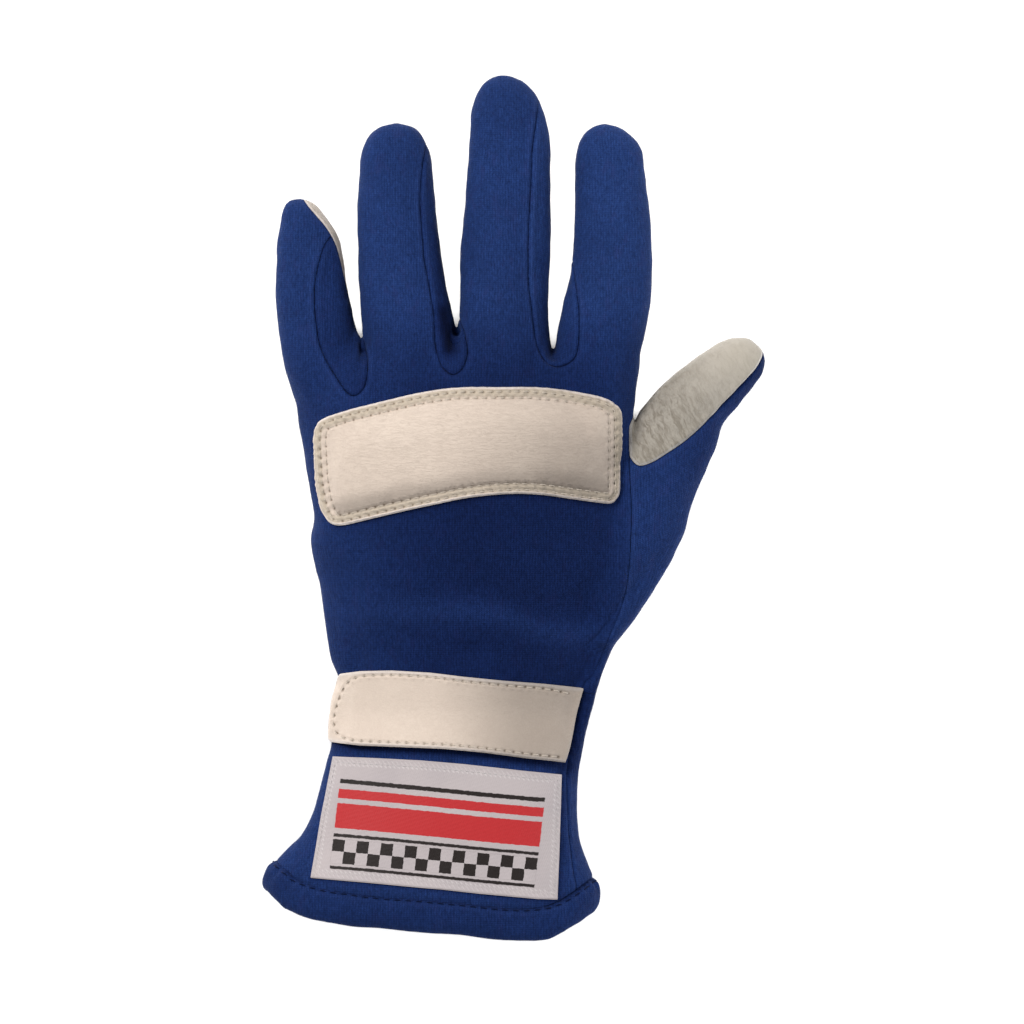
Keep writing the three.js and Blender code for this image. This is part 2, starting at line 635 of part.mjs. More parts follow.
// Height of the seam between the leather palm and the knit, at a place.
function seamHeight(x, y) {
  const hand = along(HAND, "y", y, "mid") - SEAM_BELOW_MID;
  if (y < 28) return hand;
  let best = null;
  for (const f of Object.values(FINGERS)) {
    const left = along(f.rows, "y", y, "left"),
      right = along(f.rows, "y", y, "right");
    const u = (x - (left + right) / 2) / ((right - left) / 2);
    if (!best || Math.abs(u) < Math.abs(best.u)) best = { f, u };
  }
  const rows = best.f.rows;
  const lift = along(rows, "y", y, "lift") * clamp01((best.u + 1) / 2);
  const finger = along(rows, "y", y, "mid") - SEAM_BELOW_MID + lift;
  const t = smooth(28, 50, y);
  return hand * (1 - t) + finger * t;
}

// Everything higher than the seam height and a little more.
function aboveSeam(more) {
  const x0 = -90, x1 = 90, y0 = -150, y1 = 150;
  const nx = Math.round((x1 - x0) / SEAM_STEP), ny = Math.round((y1 - y0) / SEAM_STEP);
  const g = new THREE.BoxGeometry(x1 - x0, y1 - y0, 100, nx, ny, 1);
  const p = g.getAttribute("position");
  for (let i = 0; i < p.count; i++)
    p.setZ(i, p.getZ(i) > 0 ? 90 : seamHeight(p.getX(i), p.getY(i)) + more);
  return solid(g);
}

// ---------------------------------------------------------------- pieces
const shell = outer().subtract(hollow());
const above = aboveSeam(GAP / 2);
const below = block(-95, -150, -20, 95, 150, 80).subtract(aboveSeam(-GAP / 2));

// Right of the side seam, kept GAP away from the back when cut from it.
const sideLine = (d) => [
  ...SIDE_SEAM.map((p) => ({ x: p.x - d, y: p.y })),
  { x: 95, y: -145 },
  { x: 95, y: 62 },
  { x: 60, y: 60 },
  { x: 46, y: 44 },
  { x: 41 - d, y: 36 },
];
const rightOf = (d) => prism(sideLine(d));
const toWrist = block(-95, WRIST_Y + GAP / 2, -20, 95, 150, 80);
const fromWrist = block(-95, -150, -20, 95, WRIST_Y - GAP / 2, 80);
const underLine = [...UNDER_EDGE, { x: 60, y: 70 }, { x: 10, y: 70 }, { x: 10, y: -75 }];
const thumbUnderLine = [
  ...THUMB_BASE,
  { x: 36, y: 50 },
  { x: 60, y: 70 },
  ...UNDER_EDGE.slice(9).reverse(),
];
const thumbLeather = prism(THUMB_TOP, THUMB_MID_Z, 80).add(
  prism(thumbUnderLine, -20, THUMB_MID_Z),
);
const topGrown = prism(grown(THUMB_TOP, GAP), THUMB_MID_Z - GAP, 80);
const underGrown = prism(grown(underLine, GAP), -20, THUMB_MID_Z + GAP);
const thumbUnderGrown = prism(grown(thumbUnderLine, GAP), -20, THUMB_MID_Z + GAP);

const pieces = {};
for (const [name, line] of Object.entries(FORKS))
  pieces[name] = shell.intersect(above).intersect(prism(line));

pieces.back_panel = Object.values(FORKS)
  .reduce((s, line) => s.subtract(prism(grown(line, GAP))), shell.intersect(above))
  .subtract(rightOf(GAP));

pieces.palm_leather = shell
  .intersect(toWrist)
  .intersect(
    below
      .subtract(rightOf(GAP))
      .add(rightOf(2).intersect(prism(underLine, -20, THUMB_MID_Z))),
  )
  .subtract(topGrown)
  .subtract(thumbUnderGrown);

pieces.cuff_underside = shell
  .intersect(fromWrist)
  .intersect(below.add(rightOf(0)));

pieces.thumb_leather = shell.intersect(rightOf(0)).intersect(thumbLeather);

pieces.thumb_back = shell
  .intersect(rightOf(0))
  .intersect(toWrist)
  .subtract(topGrown)
  .subtract(underGrown);

// The hem is a thick turned band round the whole mouth.
const hemHollow = handRings(HEM, HEM_WALL - HEM_PROUD, HAND_SIDES, HEM_N);
pieces.cuff_hem = loft(handRings(HEM, -HEM_PROUD, HAND_SIDES, HEM_N)).subtract(
  loft([shifted(hemHollow[0], 8), hemHollow[0], hemHollow[2], shifted(hemHollow[2], -14)]),
);

// A sheet that follows the glove's outside between two heights over it.
const grownForms = new Map();
const over = (d) => {
  if (!grownForms.has(d)) grownForms.set(d, outer(d));
  return grownForms.get(d);
};
const laid = (line, from, thick, z0 = 10) =>
  prism(line, z0, 80).intersect(over(from + thick)).subtract(over(from));

// The pad's foam stands straight up from the hand.
const raised = (line, height) => prism(line, 14, 80).intersect(outer(0, height));
pieces.knuckle_pad = raised(KNUCKLE_PAD, PAD_EDGE)
  .add(raised(grown(KNUCKLE_PAD, -PAD_MARGIN), PAD_CROWN))
  .subtract(over(GAP));
pieces.wrist_strap = laid(STRAP, GAP, STRAP_THICK, STRAP_TAB_Z);
pieces.label = laid(LABEL, GAP, LABEL_THICK, 14);

// ---------------------------------------------------------------- scene
const KNIT = { color: 0x1c3a78, roughness: 0.95, metalness: 0 };
const LEATHER = { color: 0xd8ccbc, roughness: 0.8, metalness: 0 };
const WOVEN = { color: 0xd9d7dd, roughness: 0.7, metalness: 0 };
const LOOKS = {
  knuckle_pad: LEATHER,
  palm_leather: LEATHER,
  thumb_leather: LEATHER,
  wrist_strap: LEATHER,
  label: WOVEN,
};

// The largest body of a cut piece: cuts can leave crumbs beside it.
function largest(position, index) {
  const parent = Array.from({ length: position.length / 3 }, (_, i) => i);
  const find = (i) => {
    while (parent[i] !== i) i = parent[i] = parent[parent[i]];
    return i;
  };
  for (let i = 0; i < index.length; i += 3) {
    parent[find(index[i])] = find(index[i + 1]);
    parent[find(index[i + 1])] = find(index[i + 2]);
  }
  const bodies = new Map();
  for (let i = 0; i < index.length; i += 3) {
    const body = find(index[i]);
    if (!bodies.has(body)) bodies.set(body, []);
    bodies.get(body).push(index[i], index[i + 1], index[i + 2]);
  }
  return [...bodies.values()].sort(
    (a, b) => volume6(position, b) - volume6(position, a),
  )[0];
}

const glove = new THREE.Group();
for (const [name, cut] of Object.entries(pieces)) {
  const m = cut.getMesh();
  const n = m.numProp;
  const position = new Float32Array(m.numVert * 3);
  for (let i = 0; i < m.numVert; i++)
    position.set(m.vertProperties.subarray(i * n, i * n + 3), i * 3);
  const g = new THREE.BufferGeometry();
  g.setAttribute("position", new THREE.BufferAttribute(position, 3));
  g.setIndex(largest(position, m.triVerts));
  g.computeVertexNormals();
  const mesh = new THREE.Mesh(g, new THREE.MeshStandardMaterial(LOOKS[name] ?? KNIT));
  mesh.name = name;
  glove.add(mesh);
}

export default glove;
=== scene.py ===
"""A driving glove for the left hand, lying palm down on a pale floor."""
import math

import bmesh
import bpy
import numpy as np
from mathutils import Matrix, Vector
from mathutils.bvhtree import BVHTree
from mathutils.geometry import delaunay_2d_cdt


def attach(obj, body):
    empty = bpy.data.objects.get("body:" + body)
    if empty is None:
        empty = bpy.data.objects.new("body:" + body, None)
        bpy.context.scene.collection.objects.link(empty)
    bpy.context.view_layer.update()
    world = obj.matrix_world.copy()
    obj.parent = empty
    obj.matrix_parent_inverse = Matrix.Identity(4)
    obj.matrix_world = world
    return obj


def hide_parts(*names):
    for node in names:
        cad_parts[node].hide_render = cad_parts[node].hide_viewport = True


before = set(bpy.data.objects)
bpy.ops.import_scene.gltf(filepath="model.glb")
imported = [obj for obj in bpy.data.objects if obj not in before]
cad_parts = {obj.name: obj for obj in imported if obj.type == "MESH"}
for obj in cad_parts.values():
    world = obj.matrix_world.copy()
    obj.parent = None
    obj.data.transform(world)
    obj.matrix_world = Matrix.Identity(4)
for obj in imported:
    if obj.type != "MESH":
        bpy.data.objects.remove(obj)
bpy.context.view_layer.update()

# ------------------------------------------------------------------ sizes, mm
VOXEL = 1.24  # the knit and leather surface's mesh
WALL = 1.8
SEAM_GAP = 0.1  # each side of a seam
SEAM_BELOW_MID = 2.0
WRIST_Y = -60.0
PAD_CROWN = 4.3
STRAP_THICK = 1.9
LABEL_THICK = 0.7

# The camera looks straight down, LENS mm on a 36 mm sensor, far enough for
# SPAN mm to fill the frame at the height VIEW_Z.
LENS = 200.0
SPAN = 327.68
VIEW_Z = 14.0
VIEW_X, VIEW_Y = -0.64, -1.92
VIEW_FAR = SPAN / 36.0 * LENS

# ------------------------------------------------------------------ sections
# y, left, right, top, mid, bot: a section across each finger, its edges from
# above and the heights of its top, widest line and underside.
LITTLE = [
    (98.8, -70.2, -68.2, 9.0, 8.4, 7.6),
    (98.2, -71.9, -66.6, 10.6, 8.4, 6.0),
    (97.3, -73.3, -64.6, 12.2, 8.4, 4.4),
    (95.7, -73.8, -62.7, 13.9, 8.4, 2.6),
    (93.4, -74.6, -60.8, 15.2, 8.4, 1.2),
    (89.6, -75.0, -58.1, 16.6, 8.5, 0.0),
    (84.5, -76.0, -55.7, 17.6, 9.0, -0.4),
    (78.1, -76.2, -54.6, 18.6, 9.6, -0.2),
    (68.8, -76.5, -53.3, 20.0, 10.4, 0.8),
    (59.5, -75.8, -51.2, 21.2, 11.2, 2.0),
    (51.2, -74.6, -49.0, 22.4, 12.0, 2.6),
    (42.9, -73.0, -47.4, 24.0, 12.6, 2.4),
    (33.9, -70.1, -46.1, 25.6, 13.0, 1.6),
    (22.0, -66.6, -45.4, 26.8, 13.6, 2.0),
    (2.0, -59.0, -45.0, 24.0, 14.0, 7.0),
]
RING = [
    (123.0, -38.4, -37.2, 9.8, 9.0, 8.0),
    (122.4, -40.3, -35.2, 11.6, 9.0, 6.2),
    (121.6, -42.9, -32.6, 13.4, 9.0, 4.2),
    (119.7, -45.8, -30.1, 15.4, 9.0, 2.0),
    (116.5, -47.7, -28.2, 17.0, 9.2, 0.2),
    (112.0, -49.1, -26.7, 18.3, 9.6, -0.5),
    (103.0, -49.8, -25.8, 19.8, 10.4, -0.2),
    (93.4, -50.2, -24.8, 21.2, 11.4, 1.0),
    (81.9, -49.9, -23.5, 23.2, 12.8, 2.6),
    (71.7, -49.6, -21.9, 25.2, 14.0, 3.8),
    (62.7, -49.0, -19.8, 26.8, 14.8, 4.4),
    (53.1, -48.0, -17.6, 28.6, 15.2, 4.4),
    (42.9, -46.7, -16.3, 30.4, 15.2, 3.6),
    (32.0, -45.6, -15.7, 31.8, 15.0, 2.4),
    (18.0, -44.4, -16.2, 31.6, 15.0, 2.0),
    (4.0, -42.0, -18.0, 28.0, 15.0, 6.0),
]
MIDDLE = [
    (138.6, -3.9, -2.5, 10.4, 9.6, 8.6),
    (137.8, -5.8, -0.6, 12.2, 9.6, 6.6),
    (136.6, -8.3, 2.2, 14.0, 9.6, 4.6),
    (134.4, -10.6, 4.8, 16.0, 9.6, 2.2),
    (130.6, -12.6, 7.8, 17.8, 9.7, 0.2),
    (125.4, -13.8, 9.9, 19.2, 10.0, -0.5),
    (118.4, -14.2, 11.4, 20.2, 10.6, -0.4),
    (109.4, -14.7, 11.7, 21.4, 11.4, 0.6),
    (96.0, -15.8, 11.7, 23.4, 12.8, 2.4),
    (81.9, -17.0, 11.7, 25.8, 14.2, 3.8),
    (69.1, -17.4, 11.0, 28.0, 15.2, 4.6),
    (58.9, -18.1, 11.2, 29.8, 15.6, 4.6),
    (49.3, -18.4, 12.2, 31.4, 15.6, 4.0),
    (36.5, -18.2, 12.5, 33.2, 15.2, 2.6),
    (18.0, -17.6, 12.2, 33.0, 15.0, 2.0),
    (4.0, -15.0, 10.0, 29.0, 15.0, 6.0),
]
INDEX = [
    (122.6, 27.8, 30.0, 10.2, 9.4, 8.4),
    (122.0, 26.0, 32.0, 12.0, 9.4, 6.4),
    (121.0, 24.2, 34.6, 13.8, 9.4, 4.6),
    (119.0, 22.1, 37.4, 15.8, 9.4, 2.2),
    (115.8, 20.6, 40.2, 17.5, 9.5, 0.2),
    (111.4, 19.8, 41.6, 18.8, 9.8, -0.5),
    (103.0, 19.5, 42.4, 20.2, 10.6, -0.2),
    (93.4, 19.5, 43.5, 21.8, 11.6, 1.0),
    (81.9, 18.9, 44.0, 23.8, 13.0, 2.6),
    (71.0, 17.4, 44.0, 25.8, 14.2, 3.8),
    (61.4, 14.7, 43.0, 27.4, 14.8, 4.2),
    (51.8, 12.8, 41.1, 28.8, 15.0, 4.0),
    (42.9, 11.5, 39.8, 30.0, 15.0, 3.2),
    (33.3, 11.2, 38.2, 31.0, 14.8, 2.2),
    (18.0, 11.8, 36.9, 30.8, 14.6, 2.0),
    (2.0, 14.0, 31.0, 26.0, 14.4, 7.0),
]
FINGERS = {"little": LITTLE, "ring": RING, "middle": MIDDLE, "index": INDEX}

# lx, ly, rx, ry, top, mid, bot: the thumb's sections lie across its own line.
THUMB = [
    (77.6, 52.0, 78.4, 51.1, 10.4, 9.4, 8.4),
    (76.0, 53.2, 79.5, 49.8, 12.4, 9.4, 6.4),
    (73.7, 53.3, 80.2, 46.6, 14.6, 9.4, 3.8),
    (69.8, 52.9, 79.3, 42.8, 17.0, 9.6, 1.4),
    (64.7, 50.8, 75.7, 38.0, 18.8, 10.0, 0.0),
    (58.7, 46.7, 71.3, 32.3, 20.2, 10.4, -0.5),
    (52.6, 42.0, 66.4, 26.4, 21.4, 10.8, -0.3),
    (46.8, 36.9, 64.4, 19.9, 22.8, 11.2, 0.0),
    (41.8, 31.3, 61.8, 13.4, 24.2, 11.6, 0.0),
    (37.6, 26.4, 58.7, 6.4, 25.4, 12.0, -0.3),
    (33.0, 19.6, 56.0, -0.6, 26.4, 12.4, -0.5),
    (29.0, 8.4, 53.9, -8.6, 27.4, 12.8, -0.5),
    (26.4, -6.0, 48.7, -19.5, 28.4, 13.4, -0.5),
    (23.0, -20.5, 42.5, -29.4, 29.4, 14.4, 0.2),
    (20.0, -36.5, 34.2, -41.3, 30.0, 16.0, 1.6),
    (14.0, -49.0, 25.6, -50.0, 27.0, 17.0, 8.0),
]

# y, left, right, top, mid, bot, hem, crown: hem is the share of the mouth's
# dip, crown moves the middle of the section towards the fingers.
HAND = [
    (-121.0, -79.4, 26.4, 42.2, 20.0, -0.5, 1.0, 0),
    (-117.6, -78.6, 26.0, 42.2, 20.0, -0.5, 1.0, 0),
    (-113.8, -77.3, 25.9, 42.0, 19.8, -0.5, 1.0, 0),
    (-111.0, -75.6, 25.4, 41.6, 19.6, -0.5, 0.97, 0),
    (-106.9, -71.3, 23.2, 40.8, 19.4, -0.2, 0.85, 0),
    (-102.4, -66.8, 21.1, 40.0, 19.2, 0.4, 0.7, 0),
    (-96.6, -64.0, 20.3, 39.2, 19.0, 1.2, 0.5, 0),
    (-90.9, -62.1, 20.2, 38.4, 18.8, 2.0, 0.3, 0),
    (-84.5, -60.5, 20.5, 37.6, 18.6, 2.8, 0.12, 0),
    (-78.1, -59.4, 21.8, 36.9, 18.4, 3.6, 0, 0),
    (-70.0, -58.2, 23.6, 36.3, 18.0, 4.2, 0, 0),
    (-61.5, -57.4, 25.8, 35.9, 17.4, 3.8, 0, 0),
    (-53.5, -57.6, 28.2, 35.7, 16.6, 2.6, 0, 0),
    (-45.0, -59.4, 31.5, 36.2, 15.8, 1.0, 0, 0),
    (-36.0, -60.6, 32.4, 36.8, 15.2, -0.3, 0, 0),
    (-27.0, -61.8, 35.0, 37.0, 14.8, -0.8, 0, 0),
    (-18.0, -64.0, 36.6, 37.0, 14.4, -1.0, 0, 0),
    (-11.0, -64.9, 37.1, 36.9, 14.2, -1.0, 0, 0),
    (-4.0, -63.9, 37.4, 36.8, 14.0, -1.0, 0, 0),
    (5.0, -65.2, 37.5, 36.7, 14.0, -1.0, 0, 0),
    (14.0, -66.7, 37.5, 36.4, 14.0, -1.0, 0, 0),
    (23.0, -68.3, 37.8, 35.8, 14.0, -0.8, 0, 0.6),
    (30.5, -69.4, 38.1, 33.8, 14.0, 0.2, 0, 3.0),
    (35.5, -69.8, 38.3, 31.0, 14.2, 2.4, 0, 6.6),
    (39.0, -70.0, 38.2, 27.6, 14.4, 4.8, 0, 10.2),
    (41.6, -68.5, 37.0, 23.6, 14.6, 7.6, 0, 13.0),
    (43.0, -66.0, 35.0, 19.4, 14.7, 10.6, 0, 14.6),
    (43.4, -62.0, 31.0, 16.2, 14.8, 13.2, 0, 15.0),
]
HEM_LINE = [  # across, dip: how far the mouth's edge dips towards -Y
    (-1.0, 1.8), (-0.97, 3.2), (-0.92, 5.0), (-0.883, 6.8), (-0.794, 8.5), (-0.706, 9.6),
    (-0.617, 10.4), (-0.528, 10.9), (-0.438, 11.5), (-0.35, 12.0), (-0.262, 12.4),
    (-0.173, 12.6), (-0.083, 12.9), (0.006, 13.4), (0.095, 13.8), (0.183, 14.2),
    (0.272, 14.75), (0.361, 15.3), (0.45, 15.75), (0.54, 16.0), (0.627, 15.85),
    (0.716, 15.3), (0.806, 13.7), (0.895, 11.0), (0.984, 8.0), (1.0, 7.3),
]
HAND_N, FINGER_N, THUMB_N = 2.35, 2.15, 2.1

# ------------------------------------------------------------------ lines
# Lines from above, x and y in mm as the camera sees them at VIEW_Z.
SIDE_SEAM = [
    (95, 62), (60, 60), (48, 46), (42.4, 36.6), (39.9, 31.5), (38.2, 28.2),
    (37.2, 24.0), (36.9, 12.8), (37.6, -1.0), (37.3, -12.5), (36.7, -21.6), (35.8, -27.2),
    (33.6, -34.8), (30.7, -41.6), (25.6, -53.6), (22.1, -57.8), (19.2, -71.7),
    (17.3, -83.5), (17.1, -91.8), (17.8, -106.0), (19.0, -115.4), (20.6, -124.0),
    (22.0, -135.0), (24.0, -145.0), (95, -145),
]
FORKS = [
    [
        (-56.0, 90.0), (-58.6, 86.4), (-61.0, 82.6), (-62.9, 75.6), (-63.8, 70.0),
        (-63.7, 62.0), (-62.6, 53.2), (-60.8, 48.0), (-58.6, 44.0), (-54.8, 37.9),
        (-52.5, 35.6), (-50.1, 35.8), (-48.0, 38.2), (-47.1, 42.0), (-47.0, 46.0),
        (-48.0, 52.0), (-49.6, 60.0), (-50.6, 72.0), (-51.0, 82.0), (-51.3, 93.0),
        (-51.0, 103.0), (-50.3, 112.0), (-56.0, 112.0),
    ],
    [
        (-24.0, 119.5), (-27.2, 118.6), (-28.9, 111.0), (-29.5, 105.0), (-29.9, 99.0),
        (-29.6, 92.2), (-29.1, 85.1), (-28.5, 78.7), (-27.2, 71.9), (-25.9, 63.7),
        (-25.3, 57.3), (-25.0, 51.2), (-24.2, 47.4), (-22.8, 44.4), (-19.9, 42.2),
        (-17.1, 43.4), (-15.4, 46.7), (-15.0, 50.0), (-16.0, 55.0), (-17.6, 60.0),
        (-18.7, 64.0), (-18.8, 70.0), (-18.4, 82.0), (-17.4, 96.0), (-15.9, 109.6),
        (-15.0, 120.0), (-15.0, 126.0), (-19.0, 128.5), (-24.0, 126.0),
    ],
    [
        (13.0, 132.5), (8.6, 132.4), (7.6, 127.0), (7.0, 121.0), (6.0, 113.9),
        (5.6, 103.0), (5.0, 92.5), (4.7, 81.6), (4.9, 71.0), (5.8, 63.7),
        (7.0, 53.8), (8.1, 50.2), (9.9, 46.6), (12.7, 44.9), (16.3, 45.2),
        (19.2, 47.4), (20.4, 50.9), (20.7, 56.6), (20.6, 62.0), (20.1, 67.0),
        (19.2, 73.0), (18.5, 79.0), (17.9, 86.0), (18.1, 94.0), (18.3, 104.0),
        (18.8, 112.0), (17.6, 121.5), (15.0, 129.0),
    ],
]
# Where these seams end, near the fingertips and the thumb's tip.
SEAM_ENDS = [(-57.6, 85.6), (-27.9, 115.6), (8.0, 128.6), (79.3, 49.8), (-68.0, 98.6)]
# Where the gap between two fingers runs on as a crease: from, to, depth, width.
CREASES = [
    (-47.8, 51.0, -48.8, 44.0, 1.7, 1.4),
    (-18.4, 56.0, -20.6, 46.6, 2.6, 1.7),
    (12.5, 50.0, 12.3, 47.0, 1.3, 1.5),
]
# Where each gap between two fingers comes to a point: x, its end as the even
# skin leaves it, its true end, and its half width there.
GAPS = [
    (-48.3, 55.6, 52.3, 1.3),
    (-18.3, 64.5, 57.0, 1.5),
    (12.5, 55.9, 50.7, 1.7),
]
THUMB_GAP = (38.5, 31.2, 27.6, 1.4)
# The little finger's leather shows beyond this line.
LITTLE_EDGE = [
    (-72.0, 106.0), (-69.0, 101.0), (-65.8, 96.0), (-61.2, 90.8), (-57.4, 84.6),
    (-55.1, 77.6), (-53.4, 69.5), (-51.6, 63.0), (-49.6, 57.0), (-46.6, 50.0),
    (-43.0, 42.0),
]
THUMB_TOP = [
    (36.9, 27.0), (36.9, 18.0), (37.4, 15.2), (39.8, 13.0), (43.9, 13.9),
    (49.2, 17.0), (55.0, 20.9), (60.4, 25.6), (65.6, 31.0), (71.6, 37.3),
    (76.0, 42.1), (78.7, 46.0), (80.2, 50.0), (84.0, 56.0), (70.0, 68.0),
    (50.0, 58.0), (40.0, 38.0),
]
# Underneath, the leather ends on this line, and the thumb's own leather
# starts at the second one.
UNDER_EDGE = [
    (88.0, 62.0), (79.4, 50.6), (72.0, 44.6), (64.0, 36.4), (56.6, 27.2),
    (51.4, 17.6), (49.2, 7.6), (48.4, -4.0), (46.0, -15.0), (41.4, -25.6),
    (35.4, -35.0), (29.6, -43.6), (25.2, -52.0), (22.4, -60.0), (20.0, -75.0),
]
THUMB_BASE = [
    (34.0, 40.0), (36.6, 31.0), (38.0, 22.0), (41.6, 15.6), (47.0, 12.6),
    (54.0, 12.0), (64.0, 12.0),
]
KNUCKLE_PAD = [
    (-61.1, 27.7), (-57.0, 29.3), (-51.4, 31.0), (-40.4, 33.7), (-29.4, 36.2),
    (-18.4, 37.7), (-7.4, 37.9), (3.0, 38.0), (12.0, 37.4), (20.7, 36.3),
    (28.0, 34.8), (31.6, 32.9), (33.6, 30.4), (33.9, 24.3), (33.7, 13.1),
    (33.8, 4.7), (32.5, 2.1), (30.6, 0.8), (26.4, 1.1), (17.8, 2.3),
    (9.2, 3.5), (0.6, 3.9), (-7.9, 3.4), (-16.5, 2.3), (-25.1, 0.5),
    (-34.9, -1.6), (-45.9, -4.2), (-54.0, -6.1), (-57.4, -6.0), (-59.6, -4.1),
    (-61.3, -0.3), (-62.7, 6.7), (-63.3, 15.0), (-63.6, 22.1), (-62.9, 25.6),
]
STRAP = [
    (-66.0, -54.8), (-59.0, -54.2), (-56.4, -53.8), (-49.0, -52.8), (-39.1, -52.6),
    (-26.7, -53.3), (-16.3, -54.6), (-3.2, -55.9), (9.9, -56.9), (21.2, -58.1),
    (14.6, -81.8), (3.4, -80.7), (-9.7, -79.0), (-22.8, -77.8), (-35.8, -77.3),
    (-49.0, -76.8), (-56.7, -75.8), (-60.0, -75.2), (-66.0, -74.2),
]
LABEL = [
    (-57.6, -80.2), (-44.0, -80.7), (-30.1, -81.4), (-16.0, -82.6), (2.8, -84.7), (15.0, -85.9),
    (14.4, -106.0), (13.8, -126.0), (7.4, -125.8), (-11.3, -124.1), (-23.7, -122.7), (-30.1, -122.2),
    (-47.0, -120.6), (-64.9, -119.1), (-61.4, -99.0),
]


# ------------------------------------------------------------------ maths
def smooth(a, b, v):
    t = np.clip((v - a) / (b - a), 0.0, 1.0)
    return t * t * (3 - 2 * t)


def catmull(points, steps, closed=False):
    """The points with a smooth curve through them, steps to each stretch."""
    p = np.asarray(points, float)
    n = len(p)
    if closed:
        ext = np.vstack([p[-1], p, p[0], p[1]])
        spans = n
    else:
        ext = np.vstack([2 * p[0] - p[1], p, 2 * p[-1] - p[-2]])
        spans = n - 1
    out = []
    for i in range(spans):
        a, b, c, d = ext[i : i + 4]
        for k in range(steps):
            t = k / steps
            out.append(
                0.5
                * (
                    2 * b
                    + (c - a) * t
                    + (2 * a - 5 * b + 4 * c - d) * t * t
                    + (3 * b - a - 3 * c + d) * t**3
                )
            )
    if not closed:
        out.append(p[-1])
    return np.array(out)


def even(points, step, closed=False):
    """The line at even steps along its length."""
    p = np.asarray(points, float)
    if closed:
        p = np.vstack([p, p[:1]])
    s = np.r_[0, np.cumsum(np.linalg.norm(np.diff(p, axis=0), axis=1))]
    n = max(2, int(round(s[-1] / step)))
    at = np.linspace(0, s[-1], n + 1)
    q = np.stack([np.interp(at, s, p[:, k]) for k in range(p.shape[1])], 1)
    return q[:-1] if closed else q


def line_distance(p, line, closed=False):
    """Distance of each point to a line, signed: positive on the line's right."""
    c = np.asarray(line, float)
    if closed:
        c = np.vstack([c, c[:1]])
    a, e = c[:-1], c[1:] - c[:-1]
    best = np.full(len(p), 1e9)
    sign = np.ones(len(p))
    for (ax, ay), (ex, ey) in zip(a, e):
        ll = ex * ex + ey * ey
        if ll < 1e-12:
            continue
        px, py = p[:, 0] - ax, p[:, 1] - ay
        t = np.clip((px * ex + py * ey) / ll, 0, 1)
        dx, dy = px - t * ex, py - t * ey
        d = dx * dx + dy * dy
        near = d < best
        best[near] = d[near]
        sign[near] = np.where((ex * py - ey * px)[near] > 0, -1.0, 1.0)
    return np.sqrt(best) * sign


def inside(p, poly):
    c = np.asarray(poly, float)
    d = np.roll(c, -1, axis=0)
    hit = np.zeros(len(p), bool)
    for (x1, y1), (x2, y2) in zip(c, d):
        if y1 == y2:
            continue
        cross = (y1 > p[:, 1]) != (y2 > p[:, 1])
        hit ^= cross & (p[:, 0] < (x2 - x1) * (p[:, 1] - y1) / (y2 - y1) + x1)
    return hit


def area_distance(p, poly):
    """Distance to a closed line: negative inside it."""
    d = np.abs(line_distance(p, poly, closed=True))
    return np.where(inside(p, poly), -d, d)


def seen(v):
    """Where the camera sees points, on the plane at VIEW_Z."""
    k = VIEW_FAR / (VIEW_FAR + VIEW_Z - v[:, 2])
    return np.stack(
        [VIEW_X + (v[:, 0] - VIEW_X) * k, VIEW_Y + (v[:, 1] - VIEW_Y) * k], 1
    )


def noise(v, scale, seed, octaves=2):
    """Smooth noise from sums of seeded waves, about -1 to 1."""
    rng = np.random.RandomState(seed)
    out = np.zeros(len(v))
    amp, total = 1.0, 0.0
    for o in range(octaves):
        for _ in range(7):
            d = rng.normal(size=v.shape[1])
            d /= np.linalg.norm(d)
            f = 2 * np.pi / (scale / 2**o) * rng.uniform(0.6, 1.25)
            out += amp * np.sin(v @ d * f + rng.uniform(0, 2 * np.pi))
        total += amp * 2.2
        amp *= 0.5
    return out / total


# ------------------------------------------------------------------ meshes
def normals(v, t):
    n = np.cross(v[t[:, 1]] - v[t[:, 0]], v[t[:, 2]] - v[t[:, 0]])
    out = np.zeros_like(v)
    for k in range(3):
        for c in range(3):
            out[:, c] += np.bincount(t[:, k], n[:, c], len(v))
    return out / np.maximum(np.linalg.norm(out, axis=1), 1e-12)[:, None]


def edges_of(t):
    """Every edge once, lower point first, in order."""
    e = np.sort(np.vstack([t[:, [0, 1]], t[:, [1, 2]], t[:, [2, 0]]]), axis=1)
    m = int(t.max()) + 1
    k = np.unique(e[:, 0].astype(np.int64) * m + e[:, 1])
    return np.stack([k // m, k % m], 1)


def rim_of(t):
    """The edges that only one triangle has, as they run in it, and its number."""
    d = np.vstack([t[:, [0, 1]], t[:, [1, 2]], t[:, [2, 0]]])
    m = int(t.max()) + 1
    k = d.min(1).astype(np.int64) * m + d.max(1)
    _, at, c = np.unique(k, return_index=True, return_counts=True)
    at = at[c == 1]
    return d[at], at % len(t)


def averaged(values, e, count):
    """Mean of each point's neighbours."""
    out = np.zeros_like(values)
    flat = values.reshape(len(values), -1)
    o = out.reshape(len(values), -1)
    for c in range(flat.shape[1]):
        o[:, c] = (
            np.bincount(e[:, 0], flat[e[:, 1], c], len(values))
            + np.bincount(e[:, 1], flat[e[:, 0], c], len(values))
        ) / count
    return out


def relax(v, t, rounds, weight=None, keep=True):
    """Smooths the points; keep holds the volume."""
    e = edges_of(t)
    count = np.maximum(np.bincount(e.ravel(), minlength=len(v)), 1)
    w = np.ones(len(v)) if weight is None else weight
    for _ in range(rounds):
        v = v + 0.55 * w[:, None] * (averaged(v, e, count) - v)
        if keep:
            v = v - 0.57 * w[:, None] * (averaged(v, e, count) - v)
    return v


